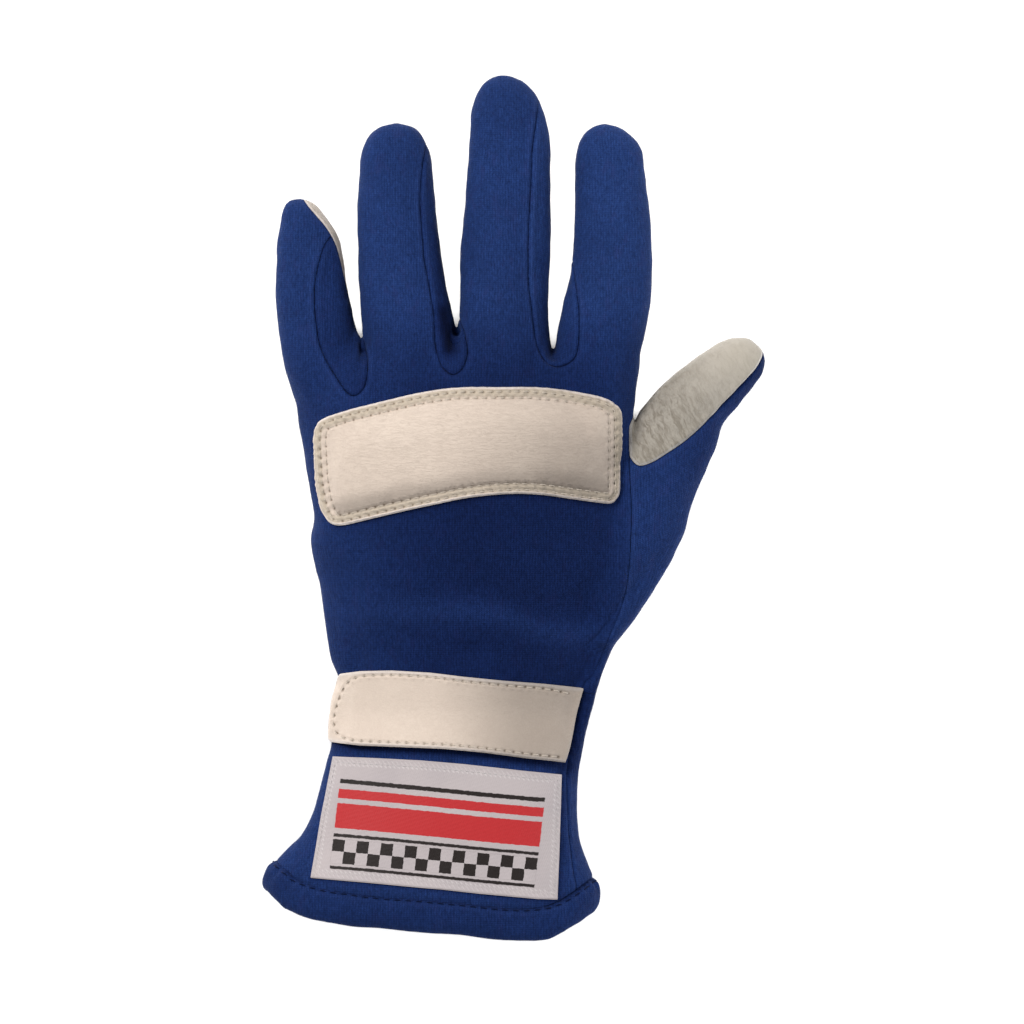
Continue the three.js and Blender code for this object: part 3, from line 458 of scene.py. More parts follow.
def gradient(v, t, *fields):
    """The gradient of each field along the surface, at each point."""
    a, b, c = v[t[:, 0]], v[t[:, 1]], v[t[:, 2]]
    n = np.cross(b - a, c - a)
    nn = np.maximum((n * n).sum(1), 1e-18)
    area = np.sqrt(nn)
    k = (area / nn)[:, None]
    ga, gb, gc = np.cross(n, c - b) * k, np.cross(n, a - c) * k, np.cross(n, b - a) * k
    w = sum(np.bincount(t[:, j], area, len(v)) for j in range(3))
    w = np.maximum(w, 1e-12)
    found = []
    for f in fields:
        g = ga * f[t[:, 0], None] + gb * f[t[:, 1], None] + gc * f[t[:, 2], None]
        out = np.zeros_like(v)
        for j in range(3):
            out[:, j] = sum(np.bincount(t[:, i], g[:, j], len(v)) for i in range(3)) / w
        found.append(out)
    return found[0] if len(found) == 1 else found


def split(v, t, fields, pairs, w):
    """New points on the given edges, w of the way along, and the triangles
    round them split to match. Every field is carried to the new points."""
    base, m = len(v), len(v)
    v = np.vstack([v, v[pairs[:, 0]] * (1 - w[:, None]) + v[pairs[:, 1]] * w[:, None]])
    for k in fields:
        g = fields[k]
        fields[k] = np.concatenate([g, g[pairs[:, 0]] * (1 - w) + g[pairs[:, 1]] * w])
    keys = pairs[:, 0].astype(np.int64) * m + pairs[:, 1]
    ends = np.sort(np.stack([t[:, [0, 1]], t[:, [1, 2]], t[:, [2, 0]]], 1), axis=2)
    want = ends[..., 0].astype(np.int64) * m + ends[..., 1]
    at = np.clip(np.searchsorted(keys, want), 0, len(keys) - 1)
    hit = keys[at] == want
    new = np.where(hit, base + at, -1)
    count = hit.sum(1)
    parts = [t[count == 0]]
    for k in range(3):
        one = (count == 1) & hit[:, k]
        r, mid = np.roll(t[one], -k, axis=1), new[one, k]
        parts += [
            np.stack([r[:, 0], mid, r[:, 2]], 1),
            np.stack([mid, r[:, 1], r[:, 2]], 1),
        ]
        two = (count == 2) & ~hit[:, (k + 2) % 3]
        r = np.roll(t[two], -k, axis=1)
        m0, m1 = new[two, k], new[two, (k + 1) % 3]
        parts.append(np.stack([m0, r[:, 1], m1], 1))
        d1 = np.linalg.norm(v[r[:, 0]] - v[m1], axis=1)
        d2 = np.linalg.norm(v[m0] - v[r[:, 2]], axis=1)
        near = d1 < d2
        q = np.stack([r[:, 0], m0, m1, r[:, 2]], 1)
        parts += [q[near][:, [0, 1, 2]], q[near][:, [0, 2, 3]]]
        parts += [q[~near][:, [0, 1, 3]], q[~near][:, [1, 2, 3]]]
    three = count == 3
    r, n3 = t[three], new[three]
    parts += [
        np.stack([r[:, 0], n3[:, 0], n3[:, 2]], 1),
        np.stack([n3[:, 0], r[:, 1], n3[:, 1]], 1),
        np.stack([n3[:, 2], n3[:, 1], r[:, 2]], 1),
        n3,
    ]
    return v, np.vstack(parts), fields


def refine(v, t, fields, near):
    """Halves the edges of every triangle that has a point marked near."""
    pick = near[t].any(1)
    e = edges_of(t[pick])
    return split(v, t, fields, e, np.full(len(e), 0.5))


def snap(v, t, fields, name, zone, reach, level=0.0):
    """Slides points that are nearly on a line onto it, along the surface."""
    f = fields[name] - level
    g = gradient(v, t, f)
    gg = (g * g).sum(1)
    near = zone & (np.abs(f) < reach * np.sqrt(gg)) & (gg > 0.04) & (fields["lock"] < 0.5)
    step = np.zeros_like(v)
    step[near] = -(f[near] / gg[near])[:, None] * g[near]
    rest = [k for k in fields if k not in ("lock", name)]
    if rest:
        slopes = gradient(v, t, *[fields[k] for k in rest])
        for k, slope in zip(rest, slopes if len(rest) > 1 else [slopes]):
            fields[k] = fields[k] + (slope * step).sum(1)
    fields[name] = np.where(near, level, fields[name])
    fields["lock"] = np.where(near, 1.0, fields["lock"])
    return v + step, t, fields


def cut(v, t, fields, name, zone=None, level=0.0):
    """Splits the triangles along fields[name] = level."""
    f = fields[name] - level
    f = np.where(np.abs(f) < 1e-6, 0.0, f)
    e = edges_of(t)
    pick = f[e[:, 0]] * f[e[:, 1]] < 0
    if zone is not None:
        pick &= zone[e].all(1)
    e = e[pick]
    if not len(e):
        return v, t, fields
    w = np.clip(f[e[:, 0]] / (f[e[:, 0]] - f[e[:, 1]]), 0.02, 0.98)
    base = len(v)
    v, t, fields = split(v, t, fields, e, w)
    fields[name][base:] = level
    if "lock" in fields:
        fields["lock"][base:] = 1.0
    return v, t, fields


def used(v, t, fields):
    """Drops the points that no triangle uses."""
    keep, back = np.unique(t.ravel(), return_inverse=True)
    return v[keep], back.reshape(-1, 3), {k: f[keep] for k, f in fields.items()}


def add_object(name, v, faces, material, smooth_faces=True, sharp=None):
    """A mesh object from points in mm."""
    mesh = bpy.data.meshes.new(name)
    if isinstance(faces, np.ndarray):
        k = faces.shape[1]
        mesh.vertices.add(len(v))
        mesh.vertices.foreach_set("co", (np.asarray(v) * 0.001).astype(np.float32).ravel())
        mesh.loops.add(faces.size)
        mesh.loops.foreach_set("vertex_index", faces.astype(np.int32).ravel())
        mesh.polygons.add(len(faces))
        mesh.polygons.foreach_set("loop_start", np.arange(0, faces.size, k, dtype=np.int32))
        mesh.update(calc_edges=True)
        mesh.validate()
    else:
        mesh.from_pydata([tuple(p) for p in np.asarray(v) * 0.001], [], faces)
        mesh.update()
    mesh.polygons.foreach_set("use_smooth", np.full(len(mesh.polygons), smooth_faces))
    if sharp is not None:
        ev = np.zeros(len(mesh.edges) * 2, np.int32)
        mesh.edges.foreach_get("vertices", ev)
        ev = np.sort(ev.reshape(-1, 2), axis=1)
        sharp = np.sort(sharp, axis=1).astype(np.int64)
        m = len(v)
        flags = np.isin(ev[:, 0].astype(np.int64) * m + ev[:, 1], sharp[:, 0] * m + sharp[:, 1])
        mesh.edges.foreach_set("use_edge_sharp", flags)
    obj = bpy.data.objects.new(name, mesh)
    bpy.context.scene.collection.objects.link(obj)
    mesh.materials.append(material)
    return obj


def add_field(obj, name, values):
    """One number or a vector for each point, for the material."""
    kind = "FLOAT" if values.ndim == 1 else "FLOAT_VECTOR"
    a = obj.data.attributes.new(name, kind, "POINT")
    a.data.foreach_set(
        "value" if values.ndim == 1 else "vector", values.astype(np.float32).ravel()
    )


# ------------------------------------------------------------------ the form
def power(c, n):
    return np.sign(c) * np.abs(c) ** (2.0 / n)


def ring_points(cx, cy, ex, ey, half, top, mid, bot, sides, n, shift=None):
    a = (np.arange(sides) + 0.5) / sides * 2 * np.pi
    u, w = power(np.cos(a), n), power(np.sin(a), n)
    z = mid + w * np.where(w > 0, top - mid, mid - bot)
    x = cx + ex * half * u
    y = cy + ey * half * u + (0 if shift is None else shift(u))
    return np.stack([x, y, z], 1)


def skin(rings):
    """A closed skin over rings of points."""
    n = len(rings[0])
    v = [rings[0].mean(0)] + [p for r in rings for p in r] + [rings[-1].mean(0)]
    f = []
    for j in range(n):
        k = (j + 1) % n
        f.append((0, 1 + k, 1 + j))
        for i in range(len(rings) - 1):
            a = 1 + i * n
            f.append((a + j, a + k, a + n + k, a + n + j))
        a = 1 + (len(rings) - 1) * n
        f.append((a + j, a + k, len(v) - 1))
    return np.array(v), f


def finger_form(rows, n, sides=44):
    rings = [
        ring_points((l + r) / 2, y, 1, 0, (r - l) / 2, top, mid, bot, sides, n)
        for y, l, r, top, mid, bot in catmull(rows, 4)
    ]
    return skin(rings)


def thumb_form(sides=44):
    rings = []
    for lx, ly, rx, ry, top, mid, bot in catmull(THUMB, 4):
        w = math.hypot(rx - lx, ry - ly)
        rings.append(
            ring_points(
                (lx + rx) / 2 - 0.15, (ly + ry) / 2 + 0.1, (rx - lx) / w, (ry - ly) / w,
                w / 2 + 0.75,
                top, mid, bot, sides, THUMB_N,
            )
        )
    return skin(rings)


HEM_X = np.array([r[0] for r in HEM_LINE])
HEM_Y = np.array([r[1] for r in HEM_LINE])


def hem_dip(u):
    return np.interp(u, HEM_X, HEM_Y)


def hand_form(sides=96):
    rings = []
    for y, l, r, top, mid, bot, hem, crown in catmull(HAND, 3):
        rings.append(
            ring_points(
                (l + r) / 2, y, 1, 0, (r - l) / 2, top, mid, bot, sides, HAND_N,
                lambda u: crown * (1 - u * u) - hem * hem_dip(u),
            )
        )
    first = rings[0].copy()
    first[:, 1] -= 6
    return skin([first] + rings)


def joined(parts):
    v, f, base = [], [], 0
    for pv, pf in parts:
        v.append(pv)
        f += [tuple(i + base for i in face) for face in pf]
        base += len(pv)
    return np.vstack(v), f


def remeshed(v, f, voxel):
    """One even skin round overlapping closed forms. One unit is 1 mm here."""
    mesh = bpy.data.meshes.new("form")
    mesh.from_pydata([tuple(p) for p in v], [], f)
    bm = bmesh.new()
    bm.from_mesh(mesh)
    bmesh.ops.recalc_face_normals(bm, faces=bm.faces)
    bm.to_mesh(mesh)
    bm.free()
    obj = bpy.data.objects.new("form", mesh)
    bpy.context.scene.collection.objects.link(obj)
    mod = obj.modifiers.new("skin", "REMESH")
    mod.mode = "VOXEL"
    mod.voxel_size = voxel
    dg = bpy.context.evaluated_depsgraph_get()
    out = bpy.data.meshes.new_from_object(obj.evaluated_get(dg))
    co = np.zeros(len(out.vertices) * 3)
    out.vertices.foreach_get("co", co)
    quads = np.zeros(len(out.polygons) * 4, np.int64)
    assert len(out.loops) == len(quads)
    out.loops.foreach_get("vertex_index", quads)
    bpy.data.objects.remove(obj)
    bpy.data.meshes.remove(mesh)
    bpy.data.meshes.remove(out)
    return co.reshape(-1, 3), quads.reshape(-1, 4)


def triangles(v, q):
    d1 = np.linalg.norm(v[q[:, 0]] - v[q[:, 2]], axis=1)
    d2 = np.linalg.norm(v[q[:, 1]] - v[q[:, 3]], axis=1)
    s = d1 <= d2
    return np.vstack(
        [q[s][:, [0, 1, 2]], q[s][:, [0, 2, 3]], q[~s][:, [0, 1, 3]], q[~s][:, [1, 2, 3]]]
    )


form_v, form_f = joined(
    [hand_form(), thumb_form()] + [finger_form(r, FINGER_N) for r in FINGERS.values()]
)
V, Q = remeshed(form_v, form_f, VOXEL)
T = triangles(V, Q)
V = relax(V, T, 10)


# Creases where the fingers and thumb run into the hand are softened.
def hollowness(v, t):
    e = edges_of(t)
    count = np.maximum(np.bincount(e.ravel(), minlength=len(v)), 1)
    return ((averaged(v, e, count) - v) * normals(v, t)).sum(1), e, count


for _ in range(3):
    h, e, count = hollowness(V, T)
    w = smooth(0.015, 0.06, h) * smooth(0.3, 0.8, np.abs(normals(V, T)[:, 2]))
    for _ in range(6):
        w = np.maximum(w, averaged(w, e, count))
    V = relax(V, T, 8, w, keep=False)
V = relax(V, T, 4)
# The even skin rounds off the gaps between the fingers: each is drawn down to
# its point.
narrow = np.zeros(len(V), bool)
for gx, gy, end, wide in GAPS + [THUMB_GAP]:
    narrow |= (np.abs(V[:, 0] - gx) < 4.5) & (V[:, 1] > end - 5) & (V[:, 1] < gy + 7)
V, T, _ = refine(V, T, {}, narrow)
for gx, gy, end, wide in GAPS + [THUMB_GAP]:
    y = V[:, 1]
    g = smooth(gy - 13, gy + 1, y) * smooth(gy + 16, gy + 2, y)
    V[:, 1] = y - (gy - end) * np.exp(-(((V[:, 0] - gx) / wide) ** 2)) * g
V = relax(V, T, 2)
V[:, 2] = np.maximum(V[:, 2], 0.0)

# ------------------------------------------------------------------ fields
HAND_A = np.array([r[:6] for r in HAND])
FINGER_A = {k: np.array(r) for k, r in FINGERS.items()}
SIDE_AREA = np.vstack([SIDE_SEAM[:3], catmull(SIDE_SEAM[3:22], 6), SIDE_SEAM[22:]])
FORK_AREAS = [catmull(f, 5, closed=True) for f in FORKS]
LITTLE_CURVE = catmull(LITTLE_EDGE, 6)
THUMB_TOP_AREA = np.vstack([catmull(THUMB_TOP[:13], 6), np.array(THUMB_TOP[13:])])
UNDER_CURVE = catmull(UNDER_EDGE, 6)
BASE_CURVE = catmull(THUMB_BASE, 6)
PAD_AREA = catmull(KNUCKLE_PAD, 5, closed=True)


def seam_height(x, y):
    ha = HAND_A[np.argsort(HAND_A[:, 0])]
    hand = np.interp(y, ha[:, 0], ha[:, 4]) - SEAM_BELOW_MID
    best = np.full(len(x), 1e9)
    finger = hand.copy()
    for rows in FINGER_A.values():
        r = rows[::-1]
        l = np.interp(y, r[:, 0], r[:, 1])
        rr = np.interp(y, r[:, 0], r[:, 2])
        u = np.abs((x - (l + rr) / 2) / np.maximum((rr - l) / 2, 3))
        near = u < best
        best[near] = u[near]
        finger[near] = (np.interp(y, r[:, 0], r[:, 4]) - SEAM_BELOW_MID)[near]
    t = smooth(28, 50, y)
    out = hand * (1 - t) + finger * t
    for gx, gy, end, wide in GAPS:  # the leather stays under at the forks
        out -= 6.0 * np.exp(-((x - gx) ** 2 + (y - end - 2) ** 2) / 64.0)
    return out


def soft_min(a, b, k):
    h = np.clip(0.5 + 0.5 * (b - a) / k, 0, 1)
    return b * (1 - h) + a * h - k * h * (1 - h)


def hem_top(x):
    """The y of the stitch line over the hem."""
    u = np.clip((x + 26.2) / 50.4, -1, 1)
    return -111.2 - hem_dip(u)


def segment(p, x0, y0, x1, y1):
    """How far along a short line each point is, and how far from it."""
    dx, dy = x1 - x0, y1 - y0
    t = ((p[:, 0] - x0) * dx + (p[:, 1] - y0) * dy) / (dx * dx + dy * dy)
    c = np.clip(t, 0, 1)
    return t, np.hypot(p[:, 0] - x0 - c * dx, p[:, 1] - y0 - c * dy)


def under_patches(v):
    """1 where the pad, strap or label is sewn on, 0 a few mm away from it."""
    d = np.full(len(v), 99.0)
    for line in (KNUCKLE_PAD, STRAP, LABEL):
        lo, hi = np.min(line, axis=0) - 4, np.max(line, axis=0) + 4
        ok = ((v[:, :2] > lo) & (v[:, :2] < hi)).all(1) & (v[:, 2] > 10)
        d[ok] = np.minimum(d[ok], area_distance(v[ok, :2], line))
    return smooth(3.0, -2.0, d)


def low_relief(v, n):
    """Slack, folds and the pull of the strap: height over the smooth form."""
    x, y, z = v.T
    flat = smooth(0.2, 0.8, n[:, 2])
    up = smooth(6, 16, z) * flat
    quiet = 1 - 0.82 * under_patches(v)
    out = 0.30 * noise(v * [1.0, 0.7, 1.0], 26, 5, 2) * (0.25 + 0.75 * flat) * smooth(6, 16, z) * quiet
    out = out + 0.12 * noise(v, 9, 11, 2) * smooth(3, 9, z) * quiet
    # the back falls away towards the wrist and the thumb's side
    fall = smooth(6, -44, y) * smooth(-96, -62, y)
    out -= (1.6 + 3.0 * smooth(-42, 24, x)) * fall * up
    # the dimple and gathers above the strap
    out -= 1.3 * np.exp(-(((x + 13) / 7.5) ** 2) - ((y + 46.5) / 3.8) ** 2) * up
    fold = np.exp(-(((y + 34 + 7 * smooth(-12, 16, x)) / 4.6) ** 2))
    out += 0.75 * fold * smooth(-60, -40, x) * smooth(34, 20, x) * up
    pull = np.exp(-np.clip(-52.5 - y, 0, None) / 3) * np.exp(-np.clip(y + 52.5, 0, None) / 8)
    out += 0.34 * pull * np.sin(x * 2 * np.pi / 11.5 + 1.3 * np.sin(x * 0.11)) * up
    # the strap draws the wrist in
    out -= 0.9 * np.exp(-(((y + 66.5) / 9.5) ** 2)) * up
    waist = 1.5 * np.exp(-(((y + 56.0) / 4.2) ** 2)) + 0.8 * np.exp(-(((y + 76.5) / 4.0) ** 2))
    out -= waist * smooth(-46, -56, x) * (1 - flat) * smooth(6, 12, z)
    # slack in the hollow between hand and thumb
    out += 0.3 * np.sin((y - x * 0.35) * 2 * np.pi / 17) * smooth(40, 47, x) * up * smooth(12, 0, y)
    # the gaps between the fingers run on as creases
    for x0, y0, x1, y1, deep, wide in CREASES:
        t, d = segment(v[:, :2], x0, y0, x1, y1)
        out -= deep * np.exp(-((d / wide) ** 2)) * smooth(1.25, 0.1, t) * smooth(14, 19, z) * (0.3 + 0.7 * flat)
        out += 0.5 * np.exp(-(((d - 3.4) / 1.5) ** 2)) * smooth(0.2, 0.9, t) * up
    return out * smooth(0.2, 2.5, z)


def soft_normals(v, t, rounds):
    n = normals(v, t)
    e = edges_of(t)
    count = np.maximum(np.bincount(e.ravel(), minlength=len(v)), 1)
    for _ in range(rounds):
        n = n + averaged(n, e, count)
        n /= np.maximum(np.linalg.norm(n, axis=1), 1e-9)[:, None]
    return n


def settled(v, t, rounds=6):
    """The form with its slack and folds, and the directions they go in."""
    n = soft_normals(v, t, rounds)
    return v + n * low_relief(v, n)[:, None], n


def all_fields(v, t):
    p = seen(settled(v, t)[0])
    f = {}
    f["hem"] = v[:, 1] - hem_top(v[:, 0])
    f["side"] = -area_distance(p, SIDE_AREA)
    h = v[:, 2] - seam_height(v[:, 0], v[:, 1])
    gap = np.interp(p[:, 1], [50, 60, 69, 78, 90, 98], [-48.3, -50.0, -51.4, -52.3, -54, -55])
    little = np.where(
        (p[:, 0] < gap) & (p[:, 1] > 50), line_distance(p, LITTLE_CURVE), 60.0
    )
    f["palm"] = soft_min(h, np.clip(little, -30, 30) * 1.0, 2.0)
    for i, area in enumerate(FORK_AREAS):
        f[f"fork{i}"] = -area_distance(p, area)
    f["wrist"] = v[:, 1] - WRIST_Y
    w = smooth(7.5, 13, v[:, 2])
    top = area_distance(p, THUMB_TOP_AREA)
    under = -line_distance(p, UNDER_CURVE)
    f["thumb"] = w * np.clip(top, -20, 20) + (1 - w) * np.clip(under, -20, 20)
    f["base"] = -line_distance(p, BASE_CURVE)
    f["x"], f["y"], f["z"] = v[:, 0].copy(), v[:, 1].copy(), v[:, 2].copy()
    return f


# The smooth form is kept: the pad, strap and label lie on it.
F = all_fields(V, T)
BASE_V, BASE_T = V.copy(), T.copy()
SEAMS = ["side", "palm", "fork0", "fork1", "fork2", "wrist", "thumb", "base"]
EPS = 1e-5
ZONES = {
    "side": lambda f: (f["z"] > 3) | (f["y"] > 10),
    "palm": lambda f: f["side"] <= EPS,
    "fork0": lambda f: (f["palm"] >= -EPS) & (f["side"] <= EPS),
    "fork1": lambda f: (f["palm"] >= -EPS) & (f["side"] <= EPS),
    "fork2": lambda f: (f["palm"] >= -EPS) & (f["side"] <= EPS),
    "wrist": lambda f: (f["palm"] <= EPS) | (f["side"] >= -EPS),
    "thumb": lambda f: (f["side"] >= -EPS) & (f["wrist"] >= -EPS),
    "base": lambda f: (f["thumb"] <= EPS) & (f["side"] >= -EPS) & (f["z"] < 16),
}


def along_surface(v, t, f):
    """A field as distance along the surface from its zero line."""
    return f / np.clip(np.linalg.norm(gradient(v, t, f), axis=1), 0.25, 3.0)


near = np.zeros(len(V), bool)
for name in SEAMS:
    near |= (np.abs(along_surface(V, T, F[name])) < 2.4) & ZONES[name](F)
near |= (F["hem"] > -1) & (F["hem"] < 2.0)
V, T, F = refine(V, T, F, near & (F["hem"] > -2))
V = relax(V, T, 3)
V[:, 2] = np.maximum(V[:, 2], 0.0)
F = all_fields(V, T)
F["lock"] = np.zeros(len(V))

# The mouth: everything past the stitch line goes, and the hem takes its place.
V, T, F = snap(V, T, F, "hem", F["hem"] > -9, 0.2)
V, T, F = cut(V, T, F, "hem")
T = T[F["hem"][T].mean(1) > 0]
V, T, F = used(V, T, F)

for name in SEAMS:
    V, T, F = snap(V, T, F, name, ZONES[name](F), 0.17)
    V, T, F = cut(V, T, F, name, ZONES[name](F))
    F["_" + name] = along_surface(V, T, F[name])
    for level in (0.5, -0.5, 1.3, -1.3):
        zone = ZONES[name](F) & (np.abs(F["_" + name]) < 2.6)
        V, T, F = cut(V, T, F, "_" + name, zone, level)
print("surface", len(V), len(T))

# Which panel each triangle belongs to.
M = {k: F[k][T].mean(1) for k in SEAMS}
ZM = V[:, 2][T].mean(1)
panel = np.full(len(T), -1)
right, low = M["side"] > 0, M["palm"] < 0
NAMES = [
    "back_panel", "palm_leather", "cuff_underside", "thumb_back", "thumb_leather",
    "fork_little_ring", "fork_ring_middle", "fork_middle_index",
]
panel[~right & ~low] = 0
panel[~right & low] = np.where(M["wrist"] > 0, 1, 2)[~right & low]
for i in range(3):
    panel[~right & ~low & (M[f"fork{i}"] > 0)] = 5 + i
panel[right] = np.where(
    M["wrist"] < 0, 2,
    np.where(M["thumb"] > 0, 3, np.where((M["base"] > 0) | (ZM > 16), 4, 1)),
)[right]


def bodies(t, count):
    """A number for each triangle: those joined by shared points share it."""
    root = np.arange(count)
    while True:
        low_ = root[t].min(1)
        new = root.copy()
        for k in range(3):
            np.minimum.at(new, t[:, k], low_)
        new = new[new]
        if (new == root).all():
            return root[t[:, 0]]
        root = new


# Crumbs left by the cuts go to the panel round them.
for _ in range(2):
    for k in range(len(NAMES)):
        own = np.flatnonzero(panel == k)
        body = bodies(T[own], len(V))
        ids, counts = np.unique(body, return_counts=True)
        for i in ids[counts < counts.max()]:
            part = own[body == i]
            points = np.unique(T[part])
            touch = np.isin(T, points).sum(1) == 2
            touch[part] = False
            around = panel[touch]
            if len(around):
                panel[part] = np.bincount(around).argmax()

# ------------------------------------------------------------------ relief
e_all = np.sort(np.vstack([T[:, [0, 1]], T[:, [1, 2]], T[:, [2, 0]]]), axis=1)
pan3 = np.tile(panel, 3)
order = np.lexsort((e_all[:, 1], e_all[:, 0]))
es, ps = e_all[order], pan3[order]
same = (es[1:] == es[:-1]).all(1)
at_border = same & (ps[1:] != ps[:-1])
border = es[:-1][at_border]
pair = np.sort(np.stack([ps[:-1][at_border], ps[1:][at_border]], 1), axis=1)
plain = (pair == [2, 3]).all(1)  # knit to knit at the wrist: pressed flat
first = np.r_[True, ~same]
last = np.r_[~same, True]
mouth = es[first & last]


def distances(v, line_points, near):
    """Distance to the nearest of some points, for the points marked near, and
    which point that is."""
    from mathutils.kdtree import KDTree

    tree = KDTree(len(line_points))
    for i, p in enumerate(line_points):
        tree.insert(p, i)
    tree.balance()
    out, which = np.full(len(v), 99.0), np.zeros(len(v), int)
    for i in np.flatnonzero(near):
        _, which[i], out[i] = tree.find(v[i])
    return out, which


marks = np.vstack(
    [
        V[border[~plain, 0]] * (1 - w) + V[border[~plain, 1]] * w
        for w in (0.0, 0.33, 0.67)
    ]
)
close = np.zeros(len(V), bool)
for name in SEAMS:
    close |= np.abs(F["_" + name]) < 7
SEAM_D, seam_at = distances(V, marks, close)
SEAM_D[np.unique(border[~plain])] = 0.0
# the seam to the thumb's gusset lies flat, the cuff's nearly so
gentle = np.where((pair == [0, 3]).all(1), 0.82, 0.0) + np.where((pair == [0, 2]).all(1), 0.4, 0.0)
SOFT = np.tile(gentle[~plain], 3)[seam_at] * (SEAM_D < 90)
e_t = edges_of(T)
cnt = np.maximum(np.bincount(e_t.ravel(), minlength=len(V)), 1)
for _ in range(10):
    SOFT = 0.5 * SOFT + 0.5 * averaged(SOFT, e_t, cnt)


V2, NS = settled(V, T)
pucker = 1 + 0.25 * noise(V, 5, 21, 1)
fade = np.ones(len(V))
for x, y in SEAM_ENDS:
    d = np.hypot(V[:, 0] - x, V[:, 1] - y)
    fade = np.minimum(fade, 0.15 + 0.85 * smooth(2.0, 11.0, d))
is_fork = np.zeros(len(V), bool)
is_fork[np.unique(T[panel >= 5])] = True
is_fork |= np.isin(np.arange(len(V)), np.unique(T[panel == 4]))
groove = -0.44 * np.exp(-((SEAM_D / 0.5) ** 2)) * pucker
groove += np.where(is_fork, 0.17, 0.10) * np.exp(-(((SEAM_D - 1.5) / 0.9) ** 2)) * pucker
groove += -0.12 * np.exp(-(((SEAM_D - 3.4) / 1.6) ** 2))
groove *= fade * (smooth(-0.5, 1.2, V[:, 2]) * 0.75 + 0.25) * (1 - SOFT)
# where a seam runs over the glove's edge it lies flatter
groove *= np.where(NS[:, 2] > -0.15, 0.4 + 0.6 * smooth(0.05, 0.5, np.abs(NS[:, 2])), 1.0)
# the fabric runs down into the hem's stitch line
mouth_d = F["hem"]
groove += -0.5 * np.exp(-((mouth_d / 0.9) ** 2))
OUT = V2 + NS * groove[:, None]
OUT[:, 2] = np.maximum(OUT[:, 2], 0.0)
INN = V2 - NS * WALL
INN[:, 2] = np.maximum(INN[:, 2], 1.2)

WALLS = smooth(0.4, 0.6, np.abs(NS[:, 0]) / (np.abs(NS[:, 0]) + np.abs(NS[:, 2]) + 1e-6))


def painted_knit_shade(v):
    """Painted shade on the knit, with painted highlight: darker from the fingers' roots down and most in the middle of
    the back, less towards the little finger, and lifted on the fold that runs across the back above the strap and near
    the index finger's root."""
    x, y = seen(v).T
    across = smooth(-62, -18, x) * smooth(40, 22, x)
    fold = np.exp(-(((y + 34 + 7 * smooth(-12, 16, x)) / 4.6) ** 2))
    low = smooth(62, 30, y) * smooth(-62, -56, y)
    deep = 0.10 * smooth(74, 48, y) + 0.10 * low
    deep += across * (0.30 * smooth(70, 30, y) * smooth(-62, -56, y) - 0.26 * fold)
    return deep - 0.12 * smooth(14, 32, x) * smooth(52, 66, y)


def fork_shade(v):
    """The dark where two fingers meet."""
    p = seen(v)
    out = np.zeros(len(v))
    for x0, y0, x1, y1, deep, wide in (
        (-25.4, 92.0, -23.2, 66.0, 0.34, 1.7),
        (-23.2, 66.0, -20.7, 50.5, 0.78, 2.3),
        (8.4, 84.0, 10.2, 54.0, 0.24, 1.4),
        (12.3, 56.0, 12.2, 49.0, 0.42, 1.6),
        (-48.7, 54.0, -48.2, 47.0, 0.12, 1.4),
    ):
        t, d = segment(p, x0, y0, x1, y1)
        out = np.maximum(out, deep * np.exp(-((d / wide) ** 2)) * smooth(-0.2, 0.3, t))
    return out


def painted_shadow_beside_pieces(v):
    """Painted shadow beside the pieces that are sewn on top."""
    p = seen(v)
    x, y = p.T
    out = np.zeros(len(v))
    for line, deep, wide, where in (
        (STRAP, 0.66, 2.3, smooth(-71, -74.5, y) * smooth(-64, -58, x)),
        (STRAP, 0.62, 4.2, smooth(13, 15.5, x) * smooth(-56, -62, y)),
        (LABEL, 0.40, 1.6, smooth(12.5, 14.5, x)),
        (LABEL, 0.25, 1.0, smooth(-117, -119, y)),
        (KNUCKLE_PAD, 0.30, 1.5, smooth(8, 4, y) * smooth(-62, -56, x)),
    ):
        lo, hi = np.min(line, axis=0) - 6, np.max(line, axis=0) + 6
        ok = ((p > lo) & (p < hi)).all(1) & (where > 0) & (v[:, 2] > 12)
        d = area_distance(p[ok], line)
        out[ok] = np.maximum(out[ok], deep * np.exp(-((np.maximum(d, 0) / wide) ** 2)) * where[ok])
    return out


def thumb_along(v):
    """0 at the thumb leather's foot, 1 at its tip."""
    return np.clip(((v[:, 0] - 38) * 0.72 + (v[:, 1] - 14) * 0.69) / 54, 0, 1)


# Painted shade and highlight for each piece, 0 for none: painted shadows beside the sewn-on pieces and where the
# fingers meet, the knit's painted shade over the back, the fork strips painted darker or lighter as a whole, the
# thumb's knit painted darker towards its tip, its outer side and the wrist, the thumb's leather painted darker towards
# its foot where the hand's shadow falls, and the cuff's underside painted darker near the strap.
SHADED = (1 - painted_shadow_beside_pieces(OUT)) * (1 - fork_shade(OUT))
FORK_CLOTH = (1 - painted_knit_shade(OUT)) * SHADED
PAINTED_SHADE = {
    "back_panel": 1 - FORK_CLOTH,
    "thumb_back": 1 - (0.94 - 0.24 * smooth(0.55, 0.9, thumb_along(OUT)) - 0.12 * smooth(48, 62, OUT[:, 0]))
    * (1 - 0.34 * smooth(-38, -54, OUT[:, 1])) * SHADED,
    "thumb_leather": 0.13 + 0.27 * smooth(0.95, 0.42, thumb_along(OUT)),
    "fork_little_ring": 1 - 0.79 * FORK_CLOTH,
    "fork_ring_middle": 1 - 0.90 * FORK_CLOTH,
    "fork_middle_index": 1 - (1.0 + 0.12 * smooth(14, 8, OUT[:, 0]) * smooth(56, 70, OUT[:, 1])) * FORK_CLOTH,
    "cuff_underside": 1 - (0.86 - 0.22 * smooth(-92, -84, OUT[:, 1])) * SHADED,
}
CREASED = smooth(0.75, 0.2, thumb_along(OUT))


